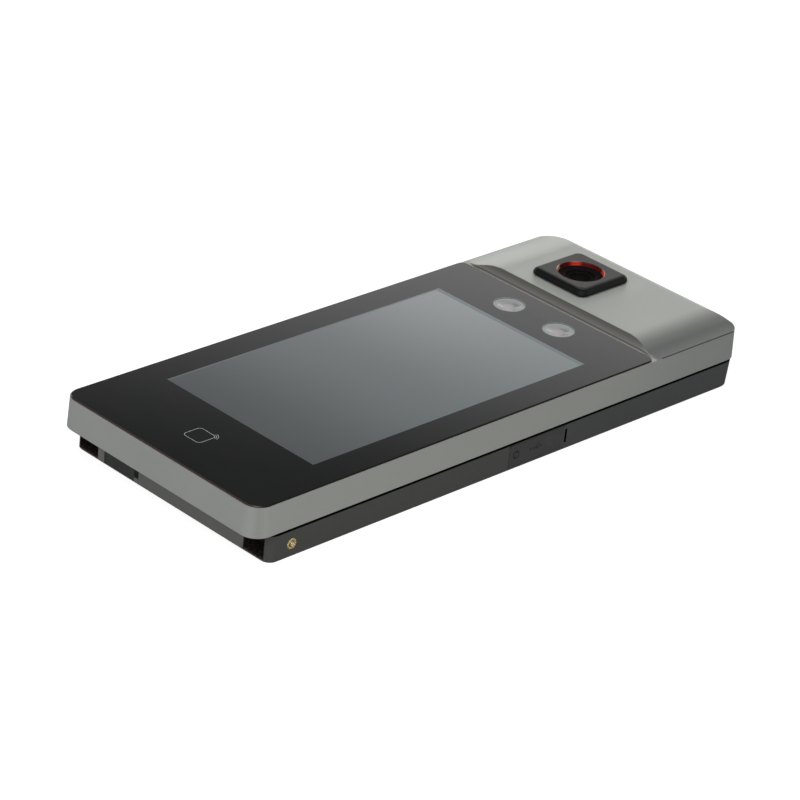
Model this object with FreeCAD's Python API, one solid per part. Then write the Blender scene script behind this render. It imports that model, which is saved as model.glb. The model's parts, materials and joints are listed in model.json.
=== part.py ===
"""Face and temperature access terminal: a slim wall unit lying on its back.

Frame: X to the right and Y towards the head, as seen from the front, and Z out of the front.
The origin is the middle of the rear face, so Z = 0 is the wall plane. All sizes are in millimetres.
A size called FOOT is measured from the frame's near edge, and one called END from its far edge.
"""

import FreeCAD, Part
import math
import os

from FreeCAD import Vector

os.makedirs("parts", exist_ok=True)

# ---------------------------------------------------------------- overall sizes
LENGTH = 282.0            # front frame, along Y, at its rear edge
WIDTH = 115.4             # front frame, along X, at its rear edge
CORNER_R = 7.7            # plan corner of the front frame at its rear edge
REAR_HEIGHT = 11.95       # rear shell, up to the groove
GROOVE = 0.9              # open line between the two housings
FRAME_HEIGHT = 13.0       # side wall of the front frame
FRAME_DRAFT = 0.55        # how far each side wall leans in over its height
GLASS_PROUD = 0.6         # cover glass above the frame's land
HEAD_RISE = 2.5           # head above the cover glass
HEAD_LENGTH = 51.0        # head's flat top, from its front edge to the far end

# ---------------------------------------------------------------- clearances and cutting bodies
FIT = 0.1                 # clearance between pieces that are pressed or glued together
SLIP = 0.3                # clearance between pieces that move past each other
PIN_PLAY = 0.05           # radial play of a turning fit
BLIND_END = 0.8           # left past the end of a screw or a blind hole
PAST = 1.0                # how far a cutting body runs past the face that it opens
FAR_PAST = 5.0            # the same for the large bodies that shape the head

# ---------------------------------------------------------------- front frame
FRAME_WALL = 1.8          # wall at the open rear edge
UPPER_WALL = 3.1          # thicker wall above the seal, measured from the rear edge outline
RIM = 0.35                # frame edge left outside the cover glass, with the glass's clearance
LEDGE = 1.6               # plate under the cover glass
TAPE = 0.2                # adhesive between plate and glass
HEAD_GAP = 0.4            # between the cover glass and the foot of the head
SHOULDER_RUN = 20.2       # width of the S-shaped fall at each side of the head
SHOULDER_OUT = 1.0        # the S ends this far outside the land
STEP_RUN = 4.8            # how far the head's front face leans back
STEP_ROUND = 0.8          # edge between that face and the head's top
STEP_SWEEP = 2.8          # how far the foot of that face curves back at the sides
STEP_SWEEP_RUN = 12.0     # length of that curve along X
END_ROUND = 4.0           # edge at the far end of the head
HEAD_SKIN = 1.8           # head's top wall
HEAD_ROOM_INSET = 2.0     # hollow under the head, inside the flat top's side edges
HEAD_ROOM_END = 5.0
POST_R = 3.3              # six-sided screw post, across its corners' radius
POST_HEIGHT = 4.9
POST_WEB = 2.4            # web between post and side wall

# ---------------------------------------------------------------- glass, display, card reader
GLASS_THICK = 1.8
GLASS_EDGE = 0.3          # bevel round the glass
GLASS_HEAD_R = 3.5        # glass corner beside the head
TAPE_INSET = 1.0
DISPLAY_VIEW = (85.92, 154.21)   # lit area, 7 inch
DISPLAY_BORDER = 7.0      # panel outside the lit area
DISPLAY_FOOT = 41.8       # from the near end of the glass to the lit area
CELL_THICK = 1.4
BACKLIGHT_THICK = 2.6
BACKLIGHT_INSET = 0.5     # inside the display panel's outline
TRAY_SHEET = 0.8
TRAY_PLAY = 0.6           # round the display panel
STANDOFF_R = 2.6
ANTENNA_SIZE = (54.0, 26.0, 1.2)
COIL_WIDTH = 1.6
COIL_THICK = 0.3
COIL_INSET = 1.5
CARD_MARK_FOOT = 21.2     # from the near end of the glass to the middle of the card mark
RIBBON_WIDTH = 30.0       # display's flat cable
RIBBON_THICK = 0.2
RIBBON_BEND = 0.9
CAMERA_RIBBON = (-29.0, 12.0)    # middle and width along X
CONNECTOR_DEPTH = 4.0
CONNECTOR_HEIGHT = 1.0

# ---------------------------------------------------------------- two lamps and two cameras behind the glass
LAMP_D = 13.1
LAMP_PITCH = 29.0
LAMP_DROP = 14.4          # from the glass's far edge to the lamps
LAMP_SINK = 0.2           # lens face below the glass
LAMP_FLANGE = 1.4         # straight part of the lens, inside the glass
LAMP_NECK_D = 8.0         # lens between its flange and the board
LAMP_BOWL = (5.3, 2.6, 0.9)      # rim radius, floor radius and depth of the hollow in its face
LED_SIZE = (3.4, 0.8)
LED_ROOM_D = 5.6
CAMERA_ROOM = (48.0, 15.6)       # opening in the frame's plate
CAMERA_BOARD = (46.0, 15.0, 1.0)
CAMERA_PITCH = 9.2
CAMERA_BASE = (8.4, 2.6)
CAMERA_LENS_D = 6.0
CAMERA_DISH = (1.0, 0.6)  # edge and depth of the hollow at the front of a camera
BRACKET_SHEET = 1.2
BRACKET_REACH = 4.0       # bracket past the opening, at each side
BRACKET_POST = (4.0, 8.0)

# ---------------------------------------------------------------- thermal camera
THERMAL_X = -12.4
THERMAL_END = 28.6
BLOCK_SIZE = 31.4
BLOCK_R = 3.8
BLOCK_RISE = 3.2
BLOCK_LIFT = 0.2          # shadow gap between the block and the head
BLOCK_ROUND = 2.2         # upper edge
BLOCK_UNDERCUT = 0.7      # bevel of the lower edge
SKIRT_SIZE = 25.0         # square neck through the head
SKIRT_R = 1.5
RING_D = 21.2
RING_HEIGHT = 1.9
RING_LIP = 0.3            # flat top of the ring
RING_CONE = 0.25          # width of the ring's sloping inside
RING_FOOT = 0.3           # straight part below the slope
BARREL_STEPS = ((13.2, 1.0), (9.6, 0.8))   # bore and depth of each step, from the front
BARREL_SINK = 0.2         # barrel's front below the ring
LENS_D = 7.6
LENS_THICK = 2.0
LENS_BEVEL = 0.5
CORE_DROP = 8.0           # from the head's top to the sensor housing
CORE_HEIGHT = 8.0
CORE_WALL = 1.0
CHAMBER_FLOOR = 3.0       # below the shutter's chamber
CHAMBER_ROOF = 1.6
SENSOR_SIZE = (3.6, 0.9)
SENSOR_SILL = 1.5
SHUTTER_PATH_D = 6.0      # light path that the shutter closes
SHUTTER_BLADE_D = 7.4
SHUTTER_ARM = 12.0        # from the blade's middle to its pin
SHUTTER_ARM_WIDTH = 2.0
SHUTTER_SHEET = 0.5
SHUTTER_HUB = (0.9, 0.5)  # hub's wall and its height past each side of the sheet
SHUTTER_PIN_D = 1.6
THERMAL_BOARD = (2.0, 1.2)       # past the housing, and thickness

# ---------------------------------------------------------------- rear shell
REAR_INSET = 0.3          # rear shell inside the frame's outline, at the sides and the far end
REAR_SETBACK = 8.7        # rear shell's near wall behind the frame's near edge
REAR_NEAR_R = 4.4
REAR_FAR_LEAN = 1.3       # far wall leans in over its height
REAR_WALL = 2.0
REAR_EDGE = 0.4           # bevel round the rear face
PLATE_THICK = 2.0         # plate that closes the front frame's rear
PLATE_PLAY = 0.15
SEAL_THICK = 1.2
SEAL_WIDTH = 1.6
CASE_SCREW_FOOT = 33.0
CASE_SCREW_END = 43.0
CASE_SCREW_ROWS = 3
CASE_SCREW_PITCH = 103.0  # between the rows from the near end; the last row keeps to the far end
CASE_SCREW_INSET = 7.5    # from the frame's side
CASE_SCREW_D = 3.0
CASE_HEAD_D = 5.6
CASE_HEAD_HEIGHT = 2.0
CASE_HEAD_SINK = 7.0
CASE_BOSS_R = 4.6         # six-sided boss, across its corners' radius
CATCH_FROM_SIDE = (3.5, 14.3)    # corner windows for the wall plate's catches
CATCH_DEPTH = 8.0
CATCH_SILL = 1.9
POCKET_WALL = 1.4
HOOK_X = 36.0
HOOK_ENDS = (41.0, 133.0)
HOOK_SIZE = (14.0, 12.0, 4.6)
HOOK_LIP = 1.6
HOOK_MOUTH = 7.0          # open length in front of the lip
FLOOR_RIB = (1.2, 2.4)
FLOOR_RIB_ENDS = (62.0, 83.0)
INSERT_FOOT = 20.6
INSERT_Z = 5.6
INSERT_D = 5.0
INSERT_LENGTH = 5.0
INSERT_WALL = 1.4
THREAD_R = 1.25           # tapped M3

# ---------------------------------------------------------------- wiring room, main board and sockets
ROOM_HALF = 39.0
ROOM_FOOT = (66.0, 124.0)
ROOM_WALL = 1.6
ROOM_CEILING = 1.5        # below the main board
BOARD_THICK = 1.6
BOARD_HALF = 44.0
BOARD_GAP = 1.9           # to the display tray
BOARD_FROM_ROOM = 0.4
BOARD_FAR_INSET = 1.8     # inside the display panel's far edge
BOARD_SCREW_D = 2.2
BOARD_SCREW_INSET = 4.0
BOARD_SCREW_HEAD = (5.0, 1.6)    # six-sided head, across its corners, and its height
BOARD_HOLE_D = 2.6
JACK_SIZE = (16.0, 21.0, 13.2)
JACK_X = 12.0
JACK_MOUTH = (11.8, 13.0, 8.2)
JACK_SILL = 1.6
JACK_LATCH = (6.4, 1.9)
SIGNAL_TERMINAL = (-19.0, 10)    # middle along X and number of ways
POWER_TERMINAL = (32.0, 3)
TERMINAL_PITCH = 3.5
TERMINAL_DEPTH = 11.0
TERMINAL_HEIGHT = 9.0
TERMINAL_END = 0.6        # wall past the last way
WIRE_ENTRY = (2.4, 6.0, 1.8)     # side of the square, depth and sill
RELEASE_SLOT = (1.6, 2.0, 1.8, 5.6)   # width, depth, height and sill
SHIELD = (2.0, 47.0, 32.0, 30.0, 3.0)    # middle in plan from the board's near edge, size, height
SHIELD_EDGE = 0.8
RELAY = (32.0, 49.0, 16.0, 20.0, 8.4)
CLOCK_CELL = (-30.0, 45.0)
CELL_D = 20.0
CELL_HEIGHT = 3.2
HOLDER_FLOOR = 1.2
HOLDER_MARGIN = (1.5, 0.5)
HOLDER_WALL = (1.2, 10.0)

# ---------------------------------------------------------------- covers on the side and the near end
COVER_SHEET = 1.5
COVER_SEAT = 1.6
COVER_GAP = 0.2
SIDE_COVER_FOOT = 140.0
SIDE_COVER_LENGTH = 30.4
SIDE_COVER_SILL = 1.4
SIDE_COVER_HEAD = 0.8     # below the groove
SIDE_COVER_ROUND = 1.2
SIDE_ANCHOR = 2.2         # strip past the fold that stays on the housing
PRY_SLOT = (0.9, 6.4, 1.2)
PRY_SLOT_GAP = 0.3
COVER_SCREW_D = 3.4
COVER_SCREW_OFF = 4.1     # from the cover's free end
COVER_SCREW_KEY = 0.9
SIDE_POCKET = (20.0, 7.0, 4.6)
SIDE_POCKET_OFF = 2.0     # from the fold
SIDE_POCKET_WALL = 1.3
PORT_BLOCK = 3.0          # block in the pocket, along X
PORT_DEPTH = 2.0
CARD_SLOT = (-8.0, 3.0, -1.9, -0.9)      # along Y and Z, from the pocket's middle
SERVICE_PORT = (-6.0, 1.0, 0.6, 2.2)
RESET_OFF = 6.6
RESET_D = 2.6
RESET_BORE = 2.4
RESET_IN = 1.8            # button inside the block
RESET_OUT = 0.6           # and proud of it
END_COVER_X = (-39.0, -21.3)
END_COVER_SILL = 0.9
END_COVER_HEAD = 0.4
END_COVER_ROUND = 0.8
END_POCKET = (14.4, 7.0, 2.4)
END_POCKET_WALL = 1.4
FINGER_NOTCH = (2.8, 7.6, 2.6)
USB_MOUTH = (12.5, 5.1)
USB_SHELL = 0.5
USB_LENGTH = 14.0
USB_BACK = 3.0            # closed rear of the socket
USB_TONGUE = (11.2, 0.4, 2.2)    # width, underside and top from the socket's middle
USB_TONGUE_SINK = 0.8
USB_BOARD = (20.0, 18.0, 1.2)
USB_BOARD_SINK = 2.0

# ---------------------------------------------------------------- tamper switch and sound
TAMPER_X = -30.0
TAMPER_FOOT = 49.0
TAMPER_D = 5.0
TAMPER_FLANGE = (8.0, 1.0)
TAMPER_STEM_D = 3.0
TAMPER_TRAVEL = 1.6
TAMPER_SINK = 0.4
TAMPER_SWITCH = (16.0, 8.0, 5.5)
TAMPER_SWITCH_Z = 8.4
TAMPER_RIB = 2.0
TAMPER_STEM_IN = 0.8      # stem inside the switch at rest
TAMPER_SPRING_WALL = 0.6  # spring inside the flange's edge
SPEAKER_X = 20.0
SPEAKER_FOOT = 37.0
SPEAKER_D = 30.0
SPEAKER_HEIGHT = 6.5
SPEAKER_RIM = (1.6, 2.2)  # wall and height of the basket's rim
SPEAKER_WELL = 1.6
MAGNET_D = 20.0
GASKET = (2.5, 1.0)
CONE = (5.0, 1.2, 0.1)    # neck radius, depth and play to the basket
SOUND_SLOT_WIDTH = 1.4
SOUND_SLOT_PITCH = 3.0
SOUND_SLOT_PAIRS = 3      # slots at each side of the middle one
SOUND_FIELD = (18.0, 6.0) # longest slot, and what the outermost loses
MIC_FOOT = 51.0
MIC_D = 6.0
MIC_LENGTH = 3.0
MIC_SKIN = 0.6            # rubber round the microphone
MIC_BOOT = (1.2, 3.4)     # boot past the microphone's front, and its length
MIC_HOLE_R = 0.6

# ---------------------------------------------------------------- worked out from the sizes above
NEAR_Y = -LENGTH / 2
FAR_Y = LENGTH / 2
HALF = WIDTH / 2
Z_FRAME = REAR_HEIGHT + GROOVE
Z_LAND = Z_FRAME + FRAME_HEIGHT
Z_GLASS = Z_LAND + GLASS_PROUD
Z_HEAD = Z_GLASS + HEAD_RISE
Z_GLASS_BACK = Z_GLASS - GLASS_THICK
Z_LEDGE_TOP = Z_GLASS_BACK - TAPE
Z_LEDGE = Z_LEDGE_TOP - LEDGE
TOP_HALF = HALF - FRAME_DRAFT
HEAD_TOP_Y = FAR_Y - HEAD_LENGTH
STEP_FOOT_Y = HEAD_TOP_Y - STEP_RUN
SHOULDER_EDGE_X = TOP_HALF + SHOULDER_OUT
HEAD_FLAT_X = SHOULDER_EDGE_X - SHOULDER_RUN
GLASS_HALF = TOP_HALF - RIM
GLASS_NEAR_Y = NEAR_Y + FRAME_DRAFT + RIM
GLASS_FAR_Y = STEP_FOOT_Y - HEAD_GAP
GLASS_R = CORNER_R - FRAME_DRAFT - RIM
CARD_MARK_Y = GLASS_NEAR_Y + CARD_MARK_FOOT
VIEW_NEAR_Y = GLASS_NEAR_Y + DISPLAY_FOOT
PANEL_HALF = DISPLAY_VIEW[0] / 2 + DISPLAY_BORDER
PANEL_NEAR_Y = VIEW_NEAR_Y - DISPLAY_BORDER
PANEL_FAR_Y = VIEW_NEAR_Y + DISPLAY_VIEW[1] + DISPLAY_BORDER / 2
Z_CELL = Z_GLASS_BACK - CELL_THICK
Z_BACKLIGHT = Z_CELL - BACKLIGHT_THICK
Z_TRAY = Z_BACKLIGHT - TRAY_SHEET
Z_BOARD_TOP = Z_TRAY - BOARD_GAP
Z_BOARD = Z_BOARD_TOP - BOARD_THICK
LAMP_Y = GLASS_FAR_Y - LAMP_DROP
Z_LAMP = Z_GLASS - LAMP_SINK
Z_CAMERA_BOARD = Z_BOARD_TOP + CAMERA_BOARD[2]
THERMAL_Y = FAR_Y - THERMAL_END
Z_BLOCK = Z_HEAD + BLOCK_RISE
Z_RING = Z_BLOCK - RING_HEIGHT
BARREL_R = RING_D / 2 - RING_LIP - RING_CONE - FIT
Z_BARREL = Z_RING - BARREL_SINK
Z_LENS = Z_BARREL - sum(step[1] for step in BARREL_STEPS)
Z_CORE = Z_HEAD - CORE_DROP
Z_CORE_LOW = Z_CORE - CORE_HEIGHT
Z_CHAMBER = (Z_CORE_LOW + CHAMBER_FLOOR, Z_CORE - CHAMBER_ROOF)
SHUTTER_CORNER = SHUTTER_ARM / math.sqrt(2)
SHUTTER_PIN_X = THERMAL_X + SHUTTER_CORNER
SHUTTER_PIN_Y = THERMAL_Y + SHUTTER_CORNER
REAR_HALF = HALF - REAR_INSET
REAR_NEAR_Y = NEAR_Y + REAR_SETBACK
REAR_FAR_Y = FAR_Y - REAR_INSET
FRAME_INNER = HALF - FRAME_WALL
UPPER_INNER = HALF - UPPER_WALL
Z_PLATE = REAR_HEIGHT + PLATE_THICK
Z_SEAL = Z_PLATE + SEAL_THICK
CASE_SCREW_X = HALF - CASE_SCREW_INSET
CASE_SCREW_Y = [NEAR_Y + CASE_SCREW_FOOT + row * CASE_SCREW_PITCH for row in range(CASE_SCREW_ROWS - 1)]
CASE_SCREW_Y.append(FAR_Y - CASE_SCREW_END)
CASE_SCREW_SPOTS = [(side * CASE_SCREW_X, y) for side in (-1, 1) for y in CASE_SCREW_Y]
SCREW_WELL_R = (CASE_HEAD_D / 2 + SLIP) / math.cos(math.pi / 6)     # six-sided, across its corners
INSERT_Y = NEAR_Y + INSERT_FOOT
ROOM_Y = (NEAR_Y + ROOM_FOOT[0], NEAR_Y + ROOM_FOOT[1])
Z_ROOM = Z_BOARD - ROOM_CEILING
BOARD_Y = (ROOM_Y[1] + ROOM_WALL + BOARD_FROM_ROOM, PANEL_FAR_Y - BOARD_FAR_INSET)
JACK_Y = ROOM_Y[1]
SIDE_COVER_Y = (NEAR_Y + SIDE_COVER_FOOT, NEAR_Y + SIDE_COVER_FOOT + SIDE_COVER_LENGTH)
SIDE_COVER_Z = (SIDE_COVER_SILL, REAR_HEIGHT - SIDE_COVER_HEAD)
SIDE_MID_Z = sum(SIDE_COVER_Z) / 2
SIDE_FLOOR_X = REAR_HALF - COVER_SEAT
SIDE_POCKET_Y = SIDE_COVER_Y[1] - SIDE_POCKET_OFF - SIDE_POCKET[0] / 2
SIDE_POCKET_X = SIDE_FLOOR_X - SIDE_POCKET[2]
PORT_FRONT_X = SIDE_POCKET_X + PORT_BLOCK
COVER_SCREW_Y = SIDE_COVER_Y[0] + COVER_SCREW_OFF
END_COVER_Z = (END_COVER_SILL, REAR_HEIGHT - END_COVER_HEAD)
END_MID_X = sum(END_COVER_X) / 2
END_MID_Z = sum(END_COVER_Z) / 2
END_POCKET_Y = REAR_NEAR_Y + COVER_SEAT + END_POCKET[2]
TAMPER_SPOT = (TAMPER_X, NEAR_Y + TAMPER_FOOT)
Z_TAMPER_FLANGE = REAR_WALL + FIT
SPEAKER_SPOT = (SPEAKER_X, NEAR_Y + SPEAKER_FOOT)
Z_SPEAKER = REAR_WALL + GASKET[1]
MIC_Y = NEAR_Y + MIC_FOOT
MIC_X = -REAR_HALF + REAR_WALL
MIC_Z = REAR_WALL + MIC_D / 2 + MIC_SKIN + FIT


# ---------------------------------------------------------------- shape helpers
def box(low_x, high_x, low_y, high_y, low_z, high_z):
    return Part.makeBox(high_x - low_x, high_y - low_y, high_z - low_z, Vector(low_x, low_y, low_z))


def block(centre_x, centre_y, size_x, size_y, low_z, high_z):
    """Box centred in plan."""
    return box(centre_x - size_x / 2, centre_x + size_x / 2, centre_y - size_y / 2, centre_y + size_y / 2,
               low_z, high_z)


def side_box(side, near_x, far_x, low_y, high_y, low_z, high_z):
    """Box between two distances from the YZ plane, at the left (-1) or the right (1)."""
    low_x, high_x = sorted((side * near_x, side * far_x))
    return box(low_x, high_x, low_y, high_y, low_z, high_z)


def rod(centre_x, centre_y, radius, low_z, high_z):
    """Cylinder along Z."""
    return Part.makeCylinder(radius, high_z - low_z, Vector(centre_x, centre_y, low_z))


def tube(centre_x, centre_y, outer, inner, low_z, high_z):
    return rod(centre_x, centre_y, outer, low_z, high_z).cut(rod(centre_x, centre_y, inner, low_z, high_z))


def rod_x(low_x, high_x, centre_y, centre_z, radius):
    return Part.makeCylinder(radius, high_x - low_x, Vector(low_x, centre_y, centre_z), Vector(1, 0, 0))


def frustum(centre_x, centre_y, low_r, high_r, low_z, high_z):
    return Part.makeCone(low_r, high_r, high_z - low_z, Vector(centre_x, centre_y, low_z))


def corner_arc(centre, radius, start_deg):
    """Quarter circle in plan, from start_deg to start_deg + 90."""
    angles = [math.radians(start_deg + turn) for turn in (0, 45, 90)]
    points = [centre + Vector(radius * math.cos(a), radius * math.sin(a), 0) for a in angles]
    return Part.Arc(*points).toShape()


def outline(half_width, near_y, far_y, near_r, far_r, z):
    """Rounded plan outline, symmetric about the YZ plane."""
    corners = ((1, near_y, near_r, 270), (1, far_y, far_r, 0),
               (-1, far_y, far_r, 90), (-1, near_y, near_r, 180))
    arcs = []
    for side, edge_y, radius, start in corners:
        inward = 1 if edge_y == near_y else -1
        centre = Vector(side * (half_width - radius), edge_y + inward * radius, z)
        arcs.append(corner_arc(centre, radius, start))
    edges = []
    for arc, following in zip(arcs, arcs[1:] + arcs[:1]):
        edges.append(arc)
        edges.append(Part.makeLine(arc.Vertexes[-1].Point, following.Vertexes[0].Point))
    return Part.Wire(Part.sortEdges(edges)[0])


def slab(half_width, near_y, far_y, near_r, far_r, low_z, high_z):
    """Straight-walled plate with a rounded outline."""
    face = Part.Face(outline(half_width, near_y, far_y, near_r, far_r, low_z))
    return face.extrude(Vector(0, 0, high_z - low_z))


def inset_slab(inset, low_z, high_z):
    """Plate that follows the front frame's outline at a distance inside it."""
    radius = CORNER_R - inset
    return slab(HALF - inset, NEAR_Y + inset, FAR_Y - inset, radius, radius, low_z, high_z)


def rounded_block(centre_x, centre_y, size, radius, low_z, high_z):
    """Square plate with rounded corners."""
    shape = slab(size / 2, -size / 2, size / 2, radius, radius, low_z, high_z)
    shape.translate(Vector(centre_x, centre_y, 0))
    return shape


def prism(points, direction):
    """Solid from a closed list of corner points, pushed along a direction."""
    return Part.Face(Part.makePolygon(points + points[:1])).extrude(direction)


def hexagon(centre_x, centre_y, radius, low_z, high_z):
    """Six-sided prism along Z, for bosses, standoffs and driver sockets."""
    angles = [math.radians(60 * turn) for turn in range(6)]
    corners = [Vector(centre_x + radius * math.cos(a), centre_y + radius * math.sin(a), low_z) for a in angles]
    return prism(corners, Vector(0, 0, high_z - low_z))


def joined(shapes):
    first, *others = shapes
    return first.fuse(others).removeSplitter() if others else first


def level_edges(shape, z):
    """Edges that lie wholly at one height."""
    return [e for e in shape.Edges if abs(e.BoundBox.ZMin - z) < 1e-4 and abs(e.BoundBox.ZMax - z) < 1e-4]


def mirror_x(shape):
    return shape.mirror(Vector(0, 0, 0), Vector(1, 0, 0))


def save(node, shape):
    shape.exportStep(f"parts/{node}.step")


# ---------------------------------------------------------------- front frame
def shoulder_cut():
    """Everything above the head's cross-section: a flat top that falls in an S of two arcs at each side."""
    run = SHOULDER_RUN / 2
    rise = (Z_HEAD - Z_LAND) / 2
    radius = (run * run + rise * rise) / (2 * rise)
    turn = math.asin(run / radius) / 2
    bulge_x = radius * math.sin(turn)
    bulge_z = radius * (1 - math.cos(turn))
    y = STEP_FOOT_Y - FAR_PAST
    foot = Vector(SHOULDER_EDGE_X, y, Z_LAND)
    hollow = Vector(SHOULDER_EDGE_X - bulge_x, y, Z_LAND + bulge_z)
    middle = Vector(SHOULDER_EDGE_X - run, y, Z_LAND + rise)
    swell = Vector(HEAD_FLAT_X + bulge_x, y, Z_HEAD - bulge_z)
    crest = Vector(HEAD_FLAT_X, y, Z_HEAD)
    right = [Part.Arc(foot, hollow, middle).toShape(), Part.Arc(middle, swell, crest).toShape()]
    left = [mirror_x(edge) for edge in right]
    out_x = HALF + FAR_PAST
    high = Z_HEAD + FAR_PAST
    sky = [foot, Vector(out_x, y, Z_LAND), Vector(out_x, y, high), Vector(-out_x, y, high),
           Vector(-out_x, y, Z_LAND), Vector(-SHOULDER_EDGE_X, y, Z_LAND)]
    lines = [Part.makeLine(a, b) for a, b in zip(sky, sky[1:])]
    lines.append(Part.makeLine(Vector(-HEAD_FLAT_X, y, Z_HEAD), crest))
    wire = Part.Wire(Part.sortEdges(right + left + lines)[0])
    return Part.Face(wire).extrude(Vector(0, FAR_Y - y + FAR_PAST, 0))


def front_cut():
    """Everything above the land in front of the head's leaning face, whose foot sweeps back at the sides."""
    turn = 2 * math.atan(STEP_SWEEP / STEP_SWEEP_RUN)
    radius = STEP_SWEEP_RUN / math.sin(turn)
    start_x = TOP_HALF - STEP_SWEEP_RUN
    centre_y = STEP_FOOT_Y + radius

    def on_arc(angle):
        return Vector(start_x + radius * math.sin(angle), centre_y - radius * math.cos(angle), Z_LAND)

    tip = on_arc(turn)
    out_x = HALF + FAR_PAST
    out = Vector(out_x, tip.y + (out_x - tip.x) * math.tan(turn), Z_LAND)
    near = Vector(out_x, NEAR_Y - FAR_PAST, Z_LAND)
    right = [Part.Arc(on_arc(0), on_arc(turn / 2), tip).toShape(), Part.makeLine(tip, out),
             Part.makeLine(out, near)]
    left = [mirror_x(edge) for edge in right]
    lines = [Part.makeLine(on_arc(0), Vector(-start_x, STEP_FOOT_Y, Z_LAND)),
             Part.makeLine(near, Vector(-near.x, near.y, Z_LAND))]
    wire = Part.Wire(Part.sortEdges(right + left + lines)[0])
    lean = Vector(0, STEP_RUN, Z_HEAD - Z_LAND)
    return Part.Face(wire).extrude(lean * 2)


def end_round_cut():
    """What the rounded edge at the far end of the head takes away."""
    low_z = Z_HEAD - END_ROUND
    end_y = FAR_Y - FRAME_DRAFT * (low_z - Z_FRAME) / FRAME_HEIGHT
    out_x = HALF + FAR_PAST
    corner = box(-out_x, out_x, end_y - END_ROUND, end_y + FAR_PAST, low_z, Z_HEAD + FAR_PAST)
    return corner.cut(rod_x(-out_x, out_x, end_y - END_ROUND, low_z, END_ROUND))


def frame_block():
    """Solid outside form: leaning side walls, flat land round the glass, raised head."""
    lean = FRAME_DRAFT * (Z_HEAD - Z_FRAME) / FRAME_HEIGHT
    low = outline(HALF, NEAR_Y, FAR_Y, CORNER_R, CORNER_R, Z_FRAME)
    high = outline(HALF - lean, NEAR_Y + lean, FAR_Y - lean, CORNER_R - lean, CORNER_R - lean, Z_HEAD)
    body = Part.makeLoft([low, high], True, True)
    return body.cut(shoulder_cut()).cut(end_round_cut()).cut(front_cut())


def round_step(body):
    """Rounds the long edge between the head's leaning face and its top and shoulders."""
    near = 0.05
    crest = []
    for edge in body.Edges:
        middle = edge.valueAt((edge.FirstParameter + edge.LastParameter) / 2)
        face_y = STEP_FOOT_Y + (middle.z - Z_LAND) * STEP_RUN / (Z_HEAD - Z_LAND)
        on_crest = abs(middle.y - face_y) < near and middle.z > Z_HEAD - near
        if on_crest and edge.BoundBox.XLength > HALF:
            crest.append(edge)
    return body.makeFillet(STEP_ROUND, crest)


def display_opening(low_z, high_z):
    return box(-PANEL_HALF - SLIP, PANEL_HALF + SLIP, PANEL_NEAR_Y - SLIP, PANEL_FAR_Y + SLIP, low_z, high_z)


def antenna_opening(low_z, high_z):
    return block(0, CARD_MARK_Y, ANTENNA_SIZE[0] + 2 * SLIP, ANTENNA_SIZE[1] + 2 * SLIP, low_z, high_z)


def camera_opening(low_z, high_z):
    return block(0, LAMP_Y, *CAMERA_ROOM, low_z, high_z)


def screw_post(x, y):
    """Six-sided post with a web to the side wall and a bore for one case screw."""
    top = Z_PLATE + POST_HEIGHT
    side = 1 if x > 0 else -1
    post = hexagon(x, y, POST_R, Z_PLATE, top)
    web = side_box(side, abs(x), UPPER_INNER + PAST, y - POST_WEB / 2, y + POST_WEB / 2, Z_SEAL, top)
    bore = rod(x, y, CASE_SCREW_D / 2, Z_PLATE, top - BLIND_END)
    return post.fuse(web).cut(bore)


def build_front_frame():
    """Frame with its open rear, the plate under the glass, the hollow head and the screw posts."""
    open_rear = inset_slab(FRAME_WALL, Z_FRAME, Z_SEAL)
    hollow = inset_slab(UPPER_WALL, Z_SEAL, Z_LEDGE)
    glass_pocket = slab(GLASS_HALF + FIT, GLASS_NEAR_Y - FIT, GLASS_FAR_Y + FIT, GLASS_R + FIT,
                        GLASS_HEAD_R + FIT, Z_LEDGE_TOP, Z_LAND + PAST)
    openings = [make(Z_LEDGE, Z_LEDGE_TOP) for make in (display_opening, antenna_opening, camera_opening)]
    room_half = HEAD_FLAT_X - HEAD_ROOM_INSET
    head_room = box(-room_half, room_half, HEAD_TOP_Y + HEAD_SKIN, FAR_Y - HEAD_ROOM_END,
                    Z_LEDGE, Z_HEAD - HEAD_SKIN)
    block_hole = rounded_block(THERMAL_X, THERMAL_Y, SKIRT_SIZE + 2 * FIT, SKIRT_R, Z_LEDGE, Z_HEAD + PAST)
    body = round_step(frame_block()).cut([open_rear, hollow, glass_pocket, head_room, block_hole] + openings)
    return joined([body] + [screw_post(x, y) for x, y in CASE_SCREW_SPOTS])


# ---------------------------------------------------------------- glass and display
def build_front_glass():
    """Bevelled cover glass with the holes of the two lamps."""
    glass = slab(GLASS_HALF, GLASS_NEAR_Y, GLASS_FAR_Y, GLASS_R, GLASS_HEAD_R, Z_GLASS_BACK, Z_GLASS)
    glass = glass.makeChamfer(GLASS_EDGE, level_edges(glass, Z_GLASS))
    return glass.cut([rod(x, LAMP_Y, LAMP_D / 2 + FIT / 2, Z_GLASS_BACK, Z_GLASS) for x in lamp_places()])


def build_glass_tape():
    """Adhesive between the glass and the plate under it, open at the display, the antenna and the cameras."""
    tape = slab(GLASS_HALF - TAPE_INSET, GLASS_NEAR_Y + TAPE_INSET, GLASS_FAR_Y - TAPE_INSET, GLASS_R,
                GLASS_HEAD_R, Z_LEDGE_TOP, Z_GLASS_BACK)
    openings = (display_opening, antenna_opening, camera_opening)
    return tape.cut([make(Z_LEDGE_TOP, Z_GLASS_BACK) for make in openings])


def build_lcd_cell():
    return box(-PANEL_HALF, PANEL_HALF, PANEL_NEAR_Y, PANEL_FAR_Y, Z_CELL, Z_GLASS_BACK)


def build_backlight():
    half = PANEL_HALF - BACKLIGHT_INSET
    return box(-half, half, PANEL_NEAR_Y + BACKLIGHT_INSET, PANEL_FAR_Y - BACKLIGHT_INSET, Z_BACKLIGHT, Z_CELL)


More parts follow.
